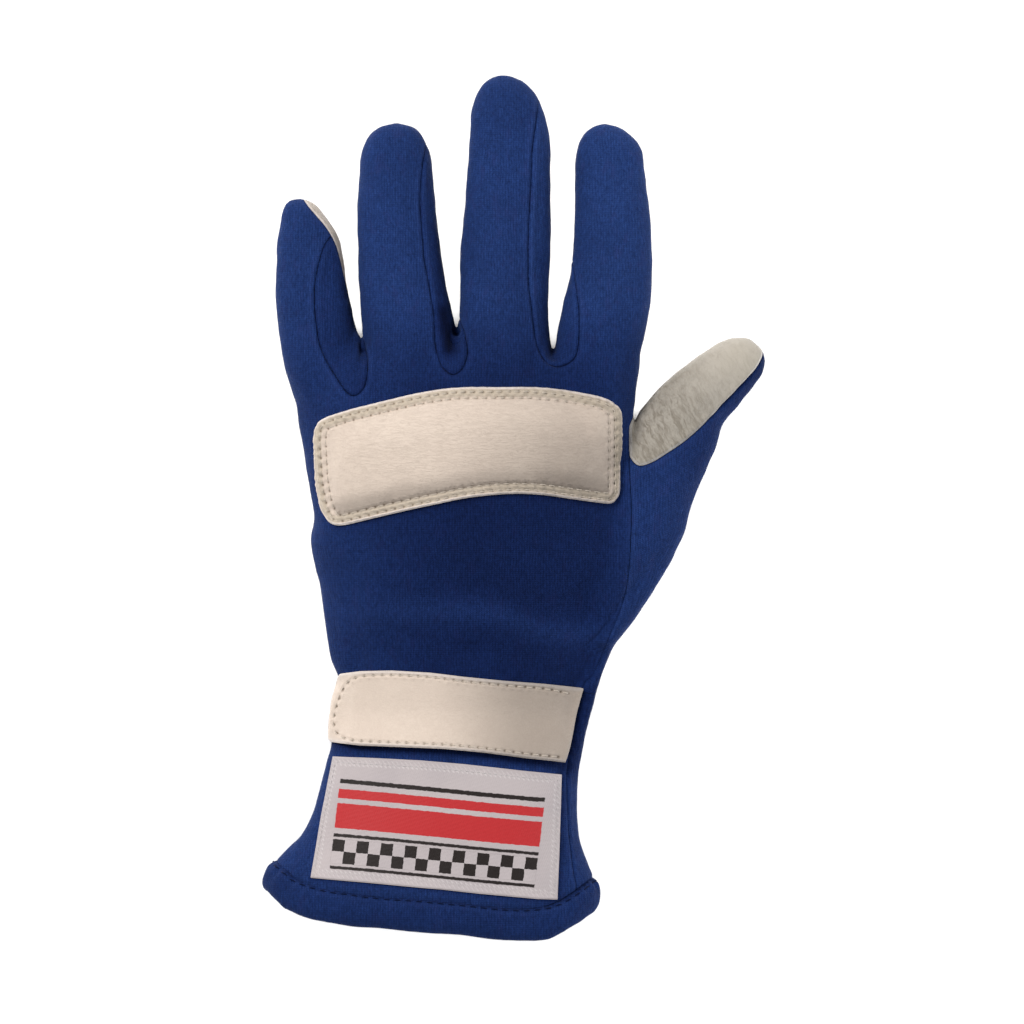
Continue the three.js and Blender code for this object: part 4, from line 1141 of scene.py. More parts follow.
def panel_object(k, name, material):
    tri = T[panel == k]
    keep, back = np.unique(tri.ravel(), return_inverse=True)
    t = back.reshape(-1, 3)
    out, inn = OUT[keep].copy(), INN[keep].copy()
    n = len(keep)
    rim, owner = rim_of(t)
    nn = NS[keep]
    tangent = out[rim[:, 1]] - out[rim[:, 0]]
    face = np.cross(out[t[owner, 1]] - out[t[owner, 0]], out[t[owner, 2]] - out[t[owner, 0]])
    inward = np.cross(face, tangent)
    inward /= np.maximum(np.linalg.norm(inward, axis=1), 1e-9)[:, None]
    pull = np.zeros_like(out)
    for j in (0, 1):
        for c3 in range(3):
            pull[:, c3] += np.bincount(rim[:, j], inward[:, c3], n)
    length = np.linalg.norm(pull, axis=1)
    moved = length > 0.3
    pull[moved] /= length[moved][:, None]
    out[moved] += pull[moved] * SEAM_GAP
    inn[moved] += pull[moved] * SEAM_GAP
    v = np.vstack([out, inn])
    faces = np.vstack([t, t[:, ::-1] + n])
    a, b = rim[:, 0], rim[:, 1]
    faces = np.vstack([faces, np.stack([b, a, a + n], 1), np.stack([b, a + n, b + n], 1)])
    sharp = np.vstack([rim, rim + n])
    obj = add_object(name, v, faces, material, sharp=sharp)
    two = lambda q: np.concatenate([q[keep], q[keep]])
    add_field(obj, "seam", two(SEAM_D + 0.46 * SOFT))
    add_field(obj, "deep", two(PAINTED_SHADE.get(NAMES[k], 1 - SHADED)))
    add_field(obj, "creased", two(CREASED))
    add_field(obj, "wall", two(WALLS))
    return obj


# ------------------------------------------------------------------ patches
def patch_object(name, field, area_box, material, levels, height, lift, fine, thick, crown=None):
    """A piece sewn on top of the glove: the smooth form inside a line, moved
    out by a height that depends on the distance from the piece's edge. Its
    details are placed where its own surface is, about thick above."""
    v, t = BASE_V, BASE_T
    x0, x1, y0, y1, z0 = area_box
    ok = (v[:, 0] > x0) & (v[:, 0] < x1) & (v[:, 1] > y0) & (v[:, 1] < y1) & (v[:, 2] > z0)
    t = t[ok[t].all(1)]
    v, t, _ = used(v, t, {})
    v, t, f = refine(v, t, {}, np.ones(len(v), bool))
    v = relax(v, t, 3)
    f = {"in": field(settled(v, t, 12)[0])}
    v, t, f = refine(v, t, f, np.abs(f["in"]) < fine)
    v = relax(v, t, 3)
    f = {"in": field(settled(v, t, 12)[0]), "lock": np.zeros(len(v))}
    v, t, f = snap(v, t, f, "in", np.ones(len(v), bool), 0.1)
    v, t, f = cut(v, t, f, "in")
    f["d"] = along_surface(v, t, f["in"])
    for level in levels:
        v, t, f = cut(v, t, f, "d", np.abs(f["d"]) < level + 2, level)
    base, n = settled(v, t, 12)
    keep = f["in"][t].mean(1) > 0
    t = t[keep]
    ids, back = np.unique(t.ravel(), return_inverse=True)
    t = back.reshape(-1, 3)
    base, n, d = base[ids], n[ids], np.maximum(f["d"][ids], 0)
    up = lift(base) if callable(lift) else np.full(len(base), lift)
    v = base + n * (up + (thick(base) if callable(thick) else thick))[:, None]
    rise = height(d, v)
    if crown is not None:
        # the filling's rise, without the creases where the edge turns
        e = edges_of(t)
        count = np.maximum(np.bincount(e.ravel(), minlength=len(v)), 1)
        fill = crown(d, v)
        w = smooth(3.6, 6.0, d) * 0.9
        for _ in range(90):
            fill = fill + w * (averaged(fill, e, count) - fill)
        rise = rise + fill
    top = base + n * (up + rise)[:, None]
    under = base + n * up[:, None]
    m = len(v)
    rim, _ = rim_of(t)
    a, b = rim[:, 0], rim[:, 1]
    allv = np.vstack([top, under])
    faces = np.vstack(
        [t, t[:, ::-1] + m, np.stack([b, a, a + m], 1), np.stack([b, a + m, b + m], 1)]
    )
    obj = add_object(name, allv, faces, material, sharp=np.vstack([rim, rim + m]))
    add_field(obj, "seam", np.concatenate([d, np.zeros(m)]))
    add_field(obj, "side", np.concatenate([np.ones(m), np.zeros(m)]))
    return obj, top, t, v


def drape(line, tree, closed=False, down=True):
    """A line seen from above, laid on a surface: runs of points and normals."""
    pts = np.vstack([line, line[:1]]) if closed else np.asarray(line)
    runs, run = [], []
    for x, y in pts:
        hit = tree.ray_cast(
            Vector((x, y, 80 if down else -40)), Vector((0, 0, -1 if down else 1))
        )
        if hit[0] is None:
            if len(run) > 3:
                runs.append(run)
            run = []
        else:
            run.append((np.array(hit[0]), np.array(hit[1])))
    if len(run) > 3:
        runs.append(run)
    return [(np.array([a for a, _ in r]), np.array([b for _, b in r])) for r in runs]


def stitch_object(name, runs, material, length=2.1, gap=0.9, width=0.42, sink=0.22, keep=None):
    """Stitches along runs of points on a surface. Each is a short thread that
    comes up out of the surface and goes back down into it."""
    v, faces, base = [], [], 0
    sides, steps = 6, 7
    for pts, ups in runs:
        s = np.r_[0, np.cumsum(np.linalg.norm(np.diff(pts[:, :2], axis=0), axis=1))]
        if s[-1] < 40:  # a run that turns down a side
            s = np.r_[0, np.cumsum(np.linalg.norm(np.diff(pts, axis=0), axis=1))]
        count = max(1, int(round(s[-1] / (length + gap))))
        unit = s[-1] / count
        share = length / (length + gap)
        for i in range(count):
            at = np.linspace(i * unit, (i + share) * unit, steps)
            centre = np.stack([np.interp(at, s, pts[:, k]) for k in range(3)], 1)
            if keep is not None and not keep(centre[steps // 2]):
                continue
            up = np.array([np.interp(at[steps // 2], s, ups[:, k]) for k in range(3)])
            up /= np.linalg.norm(up)
            arc = np.sin(np.linspace(0, np.pi, steps)) ** 0.6
            centre = centre + up * (arc * (width * 0.42 + sink) - sink)[:, None]
            d = centre[-1] - centre[0]
            d /= np.linalg.norm(d)
            side = np.cross(up, d)
            side /= np.linalg.norm(side)
            rise = np.cross(d, side)
            radius = width / 2 * (
                0.45 + 0.55 * np.sin(np.linspace(0.12, np.pi - 0.12, steps)) ** 0.5
            )
            for k in range(steps):
                for j in range(sides):
                    a = 2 * np.pi * j / sides
                    v.append(centre[k] + radius[k] * (np.cos(a) * side + np.sin(a) * rise))
            for k in range(steps - 1):
                for j in range(sides):
                    j2 = (j + 1) % sides
                    p, q = base + k * sides, base + (k + 1) * sides
                    faces.append((p + j, p + j2, q + j2, q + j))
            faces.append(tuple(base + j for j in range(sides))[::-1])
            faces.append(tuple(base + (steps - 1) * sides + j for j in range(sides)))
            base += steps * sides
    return add_object(name, np.array(v), faces, material)


def inset(line, distance, step=0.5):
    """A closed line moved in by a distance, at even steps."""
    p = even(line, step, closed=True)
    for _ in range(3):
        p = (np.roll(p, 1, 0) + 2 * p + np.roll(p, -1, 0)) / 4
    d = np.roll(p, -1, 0) - np.roll(p, 1, 0)
    n = np.stack([d[:, 1], -d[:, 0]], 1)
    n /= np.linalg.norm(n, axis=1)[:, None]
    if inside(p + n * 0.5, line).mean() < 0.5:
        n = -n
    q = p + n * distance
    keep = area_distance(q, line) < -0.97 * distance
    return even(q[keep], step, closed=True)


# ---------------------------------------------------------- the pad's filling
def filled(line, step=3.2, scale=0.01, pressure=40.0, frames=20):
    """A sheet held along a line and lifted by pressure: a cloth simulation in
    centimetres-as-metres, so that it stays well behaved. Gives its points in
    mm and its triangles; nothing of it is left in the scene."""
    edge = inset(line, 3.35, step)
    lo, hi = edge.min(0), edge.max(0)
    grid = np.array([
        (x + (step / 2 if k % 2 else 0), y)
        for k, y in enumerate(np.arange(lo[1], hi[1], step * 0.866))
        for x in np.arange(lo[0], hi[0], step)
    ])
    grid = grid[area_distance(grid, edge) < -0.55 * step]
    points = np.vstack([edge, grid])
    flat, _, tris, *_ = delaunay_2d_cdt(
        [Vector(p) for p in points], [], [list(range(len(edge)))], 1, 1e-5
    )
    mesh = bpy.data.meshes.new("filling")
    mesh.from_pydata([(p[0] * scale, p[1] * scale, 0.0) for p in flat], [], [tuple(t) for t in tris])
    mesh.update()
    if mesh.polygons[0].normal.z < 0:
        mesh.flip_normals()
    obj = bpy.data.objects.new("filling", mesh)
    scene = bpy.context.scene
    scene.collection.objects.link(obj)
    pins = obj.vertex_groups.new(name="pins")
    away = np.abs(area_distance(np.array([p[:] for p in flat]), edge))
    pins.add([int(i) for i in np.flatnonzero(away < 0.2 * step)], 1.0, "REPLACE")
    cloth = obj.modifiers.new("cloth", "CLOTH")
    st = cloth.settings
    st.vertex_group_mass = "pins"
    st.quality = 8
    st.mass = 0.1
    st.tension_stiffness = st.compression_stiffness = 3
    st.shear_stiffness = 1.5
    st.bending_stiffness = 0.6
    st.use_pressure = True
    st.uniform_pressure_force = pressure
    st.effector_weights.gravity = 0
    st.air_damping = 4
    cloth.point_cache.frame_start = 1
    cloth.point_cache.frame_end = frames
    for k in range(1, frames + 1):
        scene.frame_set(k)
    done = obj.evaluated_get(bpy.context.evaluated_depsgraph_get())
    co = np.array([tuple(v.co) for v in done.to_mesh().vertices]) / scale
    done.to_mesh_clear()
    scene.frame_set(1)
    bpy.data.objects.remove(obj)
    bpy.data.meshes.remove(mesh)
    return co, np.array([tuple(t) for t in tris])


FILL_POINTS, FILL_TRIS = filled(PAD_AREA)
FILLING = BVHTree.FromPolygons(
    [tuple(p) for p in FILL_POINTS], [tuple(map(int, t)) for t in FILL_TRIS]
)
print("filling", len(FILL_POINTS), "points, up to", FILL_POINTS[:, 2].max().round(3), "mm")


# ------------------------------------------------------------------ materials
def new_material(name):
    mat = bpy.data.materials.new(name)
    mat.use_nodes = True
    nt = mat.node_tree
    nt.nodes.clear()
    out = nt.nodes.new("ShaderNodeOutputMaterial")
    bsdf = nt.nodes.new("ShaderNodeBsdfPrincipled")
    nt.links.new(bsdf.outputs[0], out.inputs[0])
    return mat, nt, bsdf


class Nodes:
    """Short names for making nodes."""

    def __init__(self, nt):
        self.nt = nt

    def put(self, socket, value):
        if isinstance(value, bpy.types.NodeSocket):
            self.nt.links.new(value, socket)
        else:
            socket.default_value = value

    def math(self, op, a, b=0.0, c=0.0, clamp=False):
        n = self.nt.nodes.new("ShaderNodeMath")
        n.operation = op
        n.use_clamp = clamp
        for s, x in zip(n.inputs, (a, b, c)):
            self.put(s, x)
        return n.outputs[0]

    def attribute(self, name):
        n = self.nt.nodes.new("ShaderNodeAttribute")
        n.attribute_type = "GEOMETRY"
        n.attribute_name = name
        return n.outputs["Fac"]

    def vector(self, name):
        n = self.nt.nodes.new("ShaderNodeAttribute")
        n.attribute_type = "GEOMETRY"
        n.attribute_name = name
        return n.outputs["Vector"]

    def place(self):
        """Position on the object in mm."""
        n = self.nt.nodes.new("ShaderNodeTexCoord")
        m = self.nt.nodes.new("ShaderNodeVectorMath")
        m.operation = "SCALE"
        self.put(m.inputs[0], n.outputs["Object"])
        m.inputs["Scale"].default_value = 1000.0
        return m.outputs[0]

    def split(self, v):
        n = self.nt.nodes.new("ShaderNodeSeparateXYZ")
        self.put(n.inputs[0], v)
        return n.outputs

    def join(self, x, y, z):
        n = self.nt.nodes.new("ShaderNodeCombineXYZ")
        for s, q in zip(n.inputs, (x, y, z)):
            self.put(s, q)
        return n.outputs[0]

    def noise(self, v, scale, detail=2.0, rough=0.5, distortion=0.0):
        n = self.nt.nodes.new("ShaderNodeTexNoise")
        self.put(n.inputs["Vector"], v)
        n.inputs["Scale"].default_value = scale
        n.inputs["Detail"].default_value = detail
        n.inputs["Roughness"].default_value = rough
        n.inputs["Distortion"].default_value = distortion
        return n.outputs["Fac"]

    def cells(self, v, scale, feature="F1", randomness=1.0):
        n = self.nt.nodes.new("ShaderNodeTexVoronoi")
        n.feature = feature
        self.put(n.inputs["Vector"], v)
        n.inputs["Scale"].default_value = scale
        n.inputs["Randomness"].default_value = randomness
        return n.outputs["Distance"]

    def stretch(self, v, x, y, z):
        n = self.nt.nodes.new("ShaderNodeVectorMath")
        n.operation = "MULTIPLY"
        self.put(n.inputs[0], v)
        n.inputs[1].default_value = (x, y, z)
        return n.outputs[0]

    def mix(self, f, a, b):
        n = self.nt.nodes.new("ShaderNodeMix")
        n.data_type = "RGBA"
        self.put(n.inputs[0], f)
        self.put(n.inputs[6], a if isinstance(a, bpy.types.NodeSocket) else (*a, 1))
        self.put(n.inputs[7], b if isinstance(b, bpy.types.NodeSocket) else (*b, 1))
        return n.outputs[2]

    def blend(self, f, a, b):
        n = self.nt.nodes.new("ShaderNodeMix")
        n.data_type = "FLOAT"
        for s, q in zip((n.inputs[0], n.inputs[2], n.inputs[3]), (f, a, b)):
            self.put(s, q)
        return n.outputs[0]

    def span(self, v, a, b, lo=0.0, hi=1.0):
        n = self.nt.nodes.new("ShaderNodeMapRange")
        n.interpolation_type = "SMOOTHSTEP"
        for s, q in zip(n.inputs, (v, a, b, lo, hi)):
            self.put(s, q)
        return n.outputs[0]

    def bump(self, height, strength, distance, normal=None):
        n = self.nt.nodes.new("ShaderNodeBump")
        n.inputs["Strength"].default_value = strength
        n.inputs["Distance"].default_value = distance
        self.put(n.inputs["Height"], height)
        if normal is not None:
            self.put(n.inputs["Normal"], normal)
        return n.outputs[0]


def knit_material(name, blue, turn=0.0):
    mat, nt, bsdf = new_material(name)
    q = Nodes(nt)
    p = q.place()
    x, y, z = q.split(p)
    # the cloth's own small shifts
    warp = q.noise(p, 0.12, 2.0)
    warp = q.math("MULTIPLY_ADD", warp, 1.6, -0.8)
    wall = q.attribute("wall")
    along = q.math("ADD", y, q.math("MULTIPLY", x, turn))
    pitch, course = 0.86, 0.66

    def legs(across):
        """Each wale is a rib: its two legs lean towards each other."""
        u = q.math("MULTIPLY", q.math("ADD", across, warp), math.pi / pitch)
        return q.math("ABSOLUTE", q.math("SINE", u))

    leg = q.blend(wall, legs(x), legs(z))
    lean = q.math("MULTIPLY", leg, 2.4)
    w = q.math("MULTIPLY", along, 2 * math.pi / course)
    loop = q.math("SINE", q.math("ADD", w, lean))
    rib = q.math("POWER", leg, 0.6)
    uneven = q.noise(q.stretch(p, 1.0, 0.45, 1.0), 0.9, 3.0, 0.6)
    height = q.math(
        "ADD",
        q.math("MULTIPLY", rib, q.span(uneven, 0.3, 0.7, 0.45, 0.85)),
        q.math("MULTIPLY", loop, 0.2),
    )
    fuzz = q.noise(p, 3.2, 3.0, 0.7)
    height = q.math("ADD", height, q.math("MULTIPLY", fuzz, 0.7))
    # colour: faint streaks of lighter and darker loops, speckle and mottling
    streak = q.noise(q.stretch(p, 1.6, 0.5, 1.6), 1.0, 3.0, 0.6)
    patch = q.noise(p, 0.05, 3.0)
    purple = q.noise(q.stretch(p, 1.2, 0.6, 1.2), 0.30, 2.0, 0.55)
    speckle = q.noise(p, 1.7, 4.0, 0.72)
    tone = q.math("ADD", q.math("MULTIPLY", streak, 0.4), q.math("MULTIPLY", speckle, 0.6))
    colour = q.mix(q.span(tone, 0.34, 0.66), tuple(0.68 * c for c in blue), tuple(1.32 * c for c in blue))
    colour = q.mix(
        q.math("MULTIPLY", q.span(purple, 0.52, 0.72), 0.30), colour,
        (blue[0] * 1.7, blue[1] * 0.95, blue[2] * 0.95),
    )
    colour = q.mix(q.math("MULTIPLY", q.span(patch, 0.35, 0.65), 0.14), colour, (0.002, 0.004, 0.02))
    shade = q.span(height, 0.35, 1.5, 0.76, 1.10)
    seam = q.attribute("seam")
    pinned = q.span(q.noise(p, 0.75, 2.0), 0.36, 0.64, 0.50, 0.88)
    shade = q.math("MULTIPLY", shade, q.span(seam, 0.0, 0.5, pinned, 1.0))
    # painted shade and highlight: the colour is darkened, or lightened, by each piece's deep field
    deep = q.attribute("deep")
    shade = q.math("MULTIPLY", shade, q.math("SUBTRACT", 1.0, deep))
    # painted highlight on the raised ridge beside each seam
    seam_ridge_highlight = q.math("MULTIPLY", q.math("MULTIPLY", q.span(seam, 0.6, 1.2), q.span(seam, 2.4, 1.4)), 0.14)
    colour = q.mix(seam_ridge_highlight, colour, tuple(min(1.0, 1.6 * c + 0.01) for c in blue))
    dark = nt.nodes.new("ShaderNodeMix")
    dark.data_type = "RGBA"
    dark.blend_type = "MULTIPLY"
    dark.inputs[0].default_value = 1.0
    q.put(dark.inputs[6], colour)
    q.put(
        dark.inputs[7],
        q.join(q.math("POWER", shade, 1.5), q.math("POWER", shade, 1.3), shade),
    )
    q.put(bsdf.inputs["Base Color"], dark.outputs[2])
    q.put(bsdf.inputs["Roughness"], q.span(streak, 0.2, 0.8, 0.98, 0.84))
    bsdf.inputs["Specular IOR Level"].default_value = 0.07
    bsdf.inputs["Sheen Weight"].default_value = 0.06
    bsdf.inputs["Sheen Roughness"].default_value = 0.45
    bsdf.inputs["Sheen Tint"].default_value = (0.35, 0.5, 1.0, 1.0)
    q.put(bsdf.inputs["Normal"], q.bump(height, 0.75, 0.00022))
    return mat


def leather_material(
    name, pale, dull, grain=1.0, wrinkle=1.0, pits=0.26, across=(1.0, 1.0, 1.0),
    edge=0.8, rim=(0.66, 0.60, 0.57), band=None, slant=0.0, cracks=0.15,
    small_cells=0.25, folds=0.0,
):
    """Pale hide: pebbled grain, fine wrinkles, pores, a raw cut edge."""
    mat, nt, bsdf = new_material(name)
    q = Nodes(nt)
    p = q.place()
    x, y, z = q.split(p)
    bend = q.noise(p, 0.35, 2.0)
    warped = q.join(
        q.math("MULTIPLY_ADD", bend, 2.0, x), q.math("MULTIPLY_ADD", bend, 1.2, y), z
    )
    warped = q.stretch(warped, *across)
    pebble = q.span(q.cells(warped, 1.05 * grain, "DISTANCE_TO_EDGE"), 0.0, 0.24)
    small = q.span(q.cells(warped, 2.3 * grain, "DISTANCE_TO_EDGE"), 0.0, 0.22)
    # wrinkles: short fine lines across, with a slant on some pieces
    wx, wy, wz = q.split(warped)
    one = 1 / math.hypot(1, slant)
    line = q.join(
        q.math("MULTIPLY", q.math("ADD", wx, q.math("MULTIPLY", wy, slant)), 0.38 * one),
        q.math("MULTIPLY", q.math("SUBTRACT", wy, q.math("MULTIPLY", wx, slant)), 1.9 * one), wz,
    )
    crease = q.noise(line, 0.62, 4.0, 0.62, 0.5 if folds == 0 else 0.1)
    crease = q.math("ABSOLUTE", q.math("SUBTRACT", crease, 0.5))
    crease = q.span(crease, 0.0, 0.04)
    ripple = q.noise(line, 1.15, 2.0, 0.5)
    creased = q.attribute("creased")
    more = q.math("MULTIPLY_ADD", creased, 1.6, 1.0)
    pores = q.noise(p, 4.5, 2.0, 0.6)
    height = q.math("ADD", q.math("MULTIPLY", pebble, 1.5 * pits), q.math("MULTIPLY", small, small_cells))
    height = q.math("ADD", height, q.math("MULTIPLY", q.math("MULTIPLY", crease, 0.42 * wrinkle), more))
    height = q.math("ADD", height, q.math("MULTIPLY", q.math("MULTIPLY", ripple, 0.5 * wrinkle), more))
    height = q.math("ADD", height, q.math("MULTIPLY", pores, 0.35))
    patch = q.noise(p, 0.045, 3.0, 0.55)
    fine = q.noise(p, 0.6, 5.0, 0.62)
    colour = q.mix(q.span(patch, 0.3, 0.7), pale, dull)
    colour = q.mix(q.math("MULTIPLY", q.span(fine, 0.4, 0.7), 0.16), colour, tuple(c * 0.88 for c in dull))
    pit = q.math("MULTIPLY", q.math("SUBTRACT", 1.0, pebble), pits)
    colour = q.mix(pit, colour, tuple(c * f for c, f in zip(dull, (0.74, 0.70, 0.66))))
    cracked = q.math("MULTIPLY", q.math("SUBTRACT", 1.0, crease), cracks * wrinkle)
    cracked = q.math("MULTIPLY", cracked, more, clamp=True)
    colour = q.mix(cracked, colour, tuple(c * f for c, f in zip(dull, (0.76, 0.72, 0.68))))
    if folds > 0:
        # soft folds, wider than the wrinkles: their bumps, with painted shade in the hollows and a painted highlight
        # on top
        fold = q.noise(line, 0.40, 2.5, 0.55, 0.25)
        much = q.math("MULTIPLY_ADD", creased, 0.8 * folds, 0.2 * folds)
        height = q.math("ADD", height, q.math("MULTIPLY", q.math("MULTIPLY", fold, 9.0), much))
        colour = q.mix(
            q.math("MULTIPLY", q.span(fold, 0.52, 0.38), much), colour,
            tuple(c * f for c, f in zip(dull, (0.50, 0.46, 0.40))),
        )
        colour = q.mix(
            q.math("MULTIPLY", q.span(fold, 0.52, 0.64), q.math("MULTIPLY", much, 0.6)), colour,
            tuple(min(1.0, c * 1.22) for c in pale),
        )
    seam = q.attribute("seam")
    if band is not None:
        # the border outside the stitches: its own tone
        a, b, tone, amount = band
        inside_band = q.math("MULTIPLY", q.span(seam, a - 0.25, a + 0.25), q.span(seam, b + 0.5, b - 0.3))
        colour = q.mix(q.math("MULTIPLY", inside_band, amount), colour, tone)
    cut_edge = q.span(seam, edge, edge * 0.45)
    speck = q.noise(p, 2.6, 3.0, 0.7)
    colour = q.mix(q.math("MULTIPLY", cut_edge, q.span(speck, 0.3, 0.6, 0.45, 0.95)), colour, rim)
    # needle holes, with painted shade in them
    hole = q.attribute("hole")
    colour = q.mix(q.math("MULTIPLY", hole, 0.85), colour, (0.20, 0.15, 0.105))
    # painted shade: the colour is darkened by each piece's deep field
    shade = q.math("SUBTRACT", 1.0, q.attribute("deep"))
    dark = nt.nodes.new("ShaderNodeMix")
    dark.data_type = "RGBA"
    dark.blend_type = "MULTIPLY"
    dark.inputs[0].default_value = 1.0
    q.put(dark.inputs[6], colour)
    q.put(dark.inputs[7], q.join(shade, shade, shade))
    q.put(bsdf.inputs["Base Color"], dark.outputs[2])
    q.put(bsdf.inputs["Roughness"], q.span(fine, 0.3, 0.7, 0.52, 0.68))
    bsdf.inputs["Specular IOR Level"].default_value = 0.28
    bsdf.inputs["Sheen Weight"].default_value = 0.05
    bsdf.inputs["Sheen Roughness"].default_value = 0.5
    q.put(bsdf.inputs["Normal"], q.bump(height, 0.5, 0.00020))
    return mat


def thread_material(name, colour, sheen=0.2):
    mat, nt, bsdf = new_material(name)
    q = Nodes(nt)
    p = q.place()
    x, y, z = q.split(p)
    twist = q.math("SINE", q.math("MULTIPLY", q.math("ADD", x, y), 14.0))
    c = q.mix(q.span(twist, -0.6, 0.6), tuple(0.7 * k for k in colour), colour)
    q.put(bsdf.inputs["Base Color"], c)
    q.put(bsdf.inputs["Roughness"], q.span(twist, -1, 1, 0.75, 0.55))
    bsdf.inputs["Specular IOR Level"].default_value = 1.5 * sheen
    bsdf.inputs["Sheen Weight"].default_value = sheen
    q.put(bsdf.inputs["Normal"], q.bump(twist, 0.5, 0.0001))
    return mat


def label_material(name):
    """White satin with woven bands: a plain motif of stripes and chequers."""
    mat, nt, bsdf = new_material(name)
    q = Nodes(nt)
    p = q.place()
    px, py, pz = q.split(p)
    u, v, _ = q.split(q.vector("cloth"))
    wob = q.math("MULTIPLY", q.math("SUBTRACT", q.noise(p, 0.8, 2.0), 0.5), 0.5)
    v2 = q.math("ADD", v, wob)
    u2 = q.math("ADD", u, wob)

    def within(s, a, b, soft=0.12):
        return q.math("MULTIPLY", q.span(s, a - soft, a + soft), q.span(s, b + soft, b - soft))

    satin = (0.50, 0.445, 0.45)
    base = q.mix(q.span(q.noise(p, 0.06, 2.0), 0.3, 0.7), satin, (0.46, 0.41, 0.42))
    left = within(u2, 4.6, 70.9)
    black, red = (0.016, 0.011, 0.010), (0.50, 0.026, 0.030)
    # a chequer band, red bands, and thin black lines over and under them
    side = 3.9
    cu = q.math("FLOOR", q.math("DIVIDE", q.math("SUBTRACT", u2, 4.6), side))
    cv = q.math("FLOOR", q.math("DIVIDE", q.math("SUBTRACT", v2, 5.4), side))
    odd = q.math("MODULO", q.math("ADD", q.math("ADD", cu, cv), 100.0), 2.0)
    odd = q.math("GREATER_THAN", odd, 0.5)
    colour = base
    band = q.math("MULTIPLY", q.math("MULTIPLY", within(v2, 5.4, 13.2), left), odd)
    colour = q.mix(band, colour, black)
    for a, b, c in ((3.6, 4.6, black), (14.0, 15.0, black), (16.8, 24.8, red), (26.4, 29.4, red), (31.2, 32.6, black)):
        colour = q.mix(q.math("MULTIPLY", within(v2, a, b), left), colour, c)
    # faint white zigzag where it's sewn down
    seam = q.attribute("seam")
    zig = q.math("ABSOLUTE", q.math("SINE", q.math("MULTIPLY", q.math("ADD", u, v), math.pi / 1.5)))
    row = q.math("ABSOLUTE", q.math("SUBTRACT", seam, q.math("MULTIPLY_ADD", zig, 2.0, 0.8)))
    colour = q.mix(q.math("MULTIPLY", q.span(row, 0.5, 0.1), 0.55), colour, (0.66, 0.62, 0.62))
    # the weave: fine satin floats across, a coarser rib along
    weft = q.math("SINE", q.math("MULTIPLY", v, 2 * math.pi / 0.42))
    warp_ = q.math("SINE", q.math("ADD", q.math("MULTIPLY", u, 2 * math.pi / 0.6), q.math("MULTIPLY", q.math("FLOOR", q.math("DIVIDE", v, 0.42)), 2.1)))
    height = q.math("ADD", q.math("MULTIPLY", weft, 0.5), q.math("MULTIPLY", warp_, 0.3))
    height = q.math("ADD", height, q.math("MULTIPLY", q.noise(p, 2.5, 2.0), 0.6))
    shade = q.span(height, -0.9, 1.2, 0.90, 1.0)
    dark = nt.nodes.new("ShaderNodeMix")
    dark.data_type = "RGBA"
    dark.blend_type = "MULTIPLY"
    dark.inputs[0].default_value = 1.0
    q.put(dark.inputs[6], colour)
    q.put(dark.inputs[7], q.join(shade, shade, shade))
    q.put(bsdf.inputs["Base Color"], dark.outputs[2])
    q.put(bsdf.inputs["Roughness"], q.span(height, -1.0, 1.0, 0.62, 0.42))
    bsdf.inputs["Specular IOR Level"].default_value = 0.22
    bsdf.inputs["Sheen Weight"].default_value = 0.02
    q.put(bsdf.inputs["Normal"], q.bump(height, 0.5, 0.00012))
    return mat


BLUE = (0.0140, 0.0362, 0.139)
KNIT = knit_material("knit_blue", BLUE)
KNIT_SIDE = knit_material("knit_blue_side", tuple(1.03 * c for c in BLUE), 0.5)
CREAM = leather_material(
    "leather_cream", (0.71, 0.60, 0.51), (0.68, 0.57, 0.485), pits=0.10, wrinkle=1.3,
    across=(0.8, 1.35, 1.0), edge=0.95, rim=(0.80, 0.72, 0.68),
    band=(0.9, 3.2, (0.50, 0.43, 0.335), 0.7),
)
STRAP_SKIN = leather_material(
    "leather_strap", (0.71, 0.60, 0.51), (0.68, 0.57, 0.485), pits=0.10, wrinkle=0.5,
    across=(0.9, 1.1, 1.0), edge=1.0, rim=(0.70, 0.62, 0.57), band=(0.0, 1.2, (0.63, 0.555, 0.50), 0.5),
)
PALM = leather_material("leather_palm", (0.62, 0.54, 0.465), (0.53, 0.465, 0.40), grain=0.9)
THUMB_SKIN = leather_material(
    "leather_thumb", (0.565, 0.515, 0.445), (0.495, 0.45, 0.38), grain=1.0, wrinkle=1.1,
    pits=0.05, edge=1.0, rim=(0.74, 0.70, 0.67), slant=-2.0, cracks=0.13,
    small_cells=0.10, folds=0.50,
)
THREAD = thread_material("thread_cream", (0.66, 0.58, 0.49))
THREAD_BLUE = thread_material("thread_blue", (0.004, 0.010, 0.045), 0.02)
THREAD_WHITE = thread_material("thread_white", (0.60, 0.57, 0.57))
LABEL_CLOTH = label_material("label_satin")

# ------------------------------------------------------------------ pieces
LOOKS = {
    "back_panel": (KNIT, "knit_fabric"),
    "palm_leather": (PALM, "cream_leather"),
    "cuff_underside": (KNIT, "knit_fabric"),
    "thumb_back": (KNIT_SIDE, "knit_fabric"),
    "thumb_leather": (THUMB_SKIN, "cream_leather"),
    "fork_little_ring": (KNIT_SIDE, "knit_fabric"),
    "fork_ring_middle": (KNIT_SIDE, "knit_fabric"),
    "fork_middle_index": (KNIT_SIDE, "knit_fabric"),
}
MADE = []


def keep_piece(obj, node):
    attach(obj, "root")
    if node:
        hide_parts(node)
    MADE.append(obj)


for k, name in enumerate(NAMES):
    mat, slot = LOOKS[name]
    obj = panel_object(k, name + "_cloth", mat)
    keep_piece(obj, name)
    print(name, len(obj.data.polygons))


def tree_of(v, t):
    return BVHTree.FromPolygons([tuple(p) for p in v], [tuple(map(int, f)) for f in t])


# the padded patch over the knuckles
def pad_field(v):
    return np.minimum(-area_distance(seen(v), PAD_AREA), v[:, 2] - 14.5)


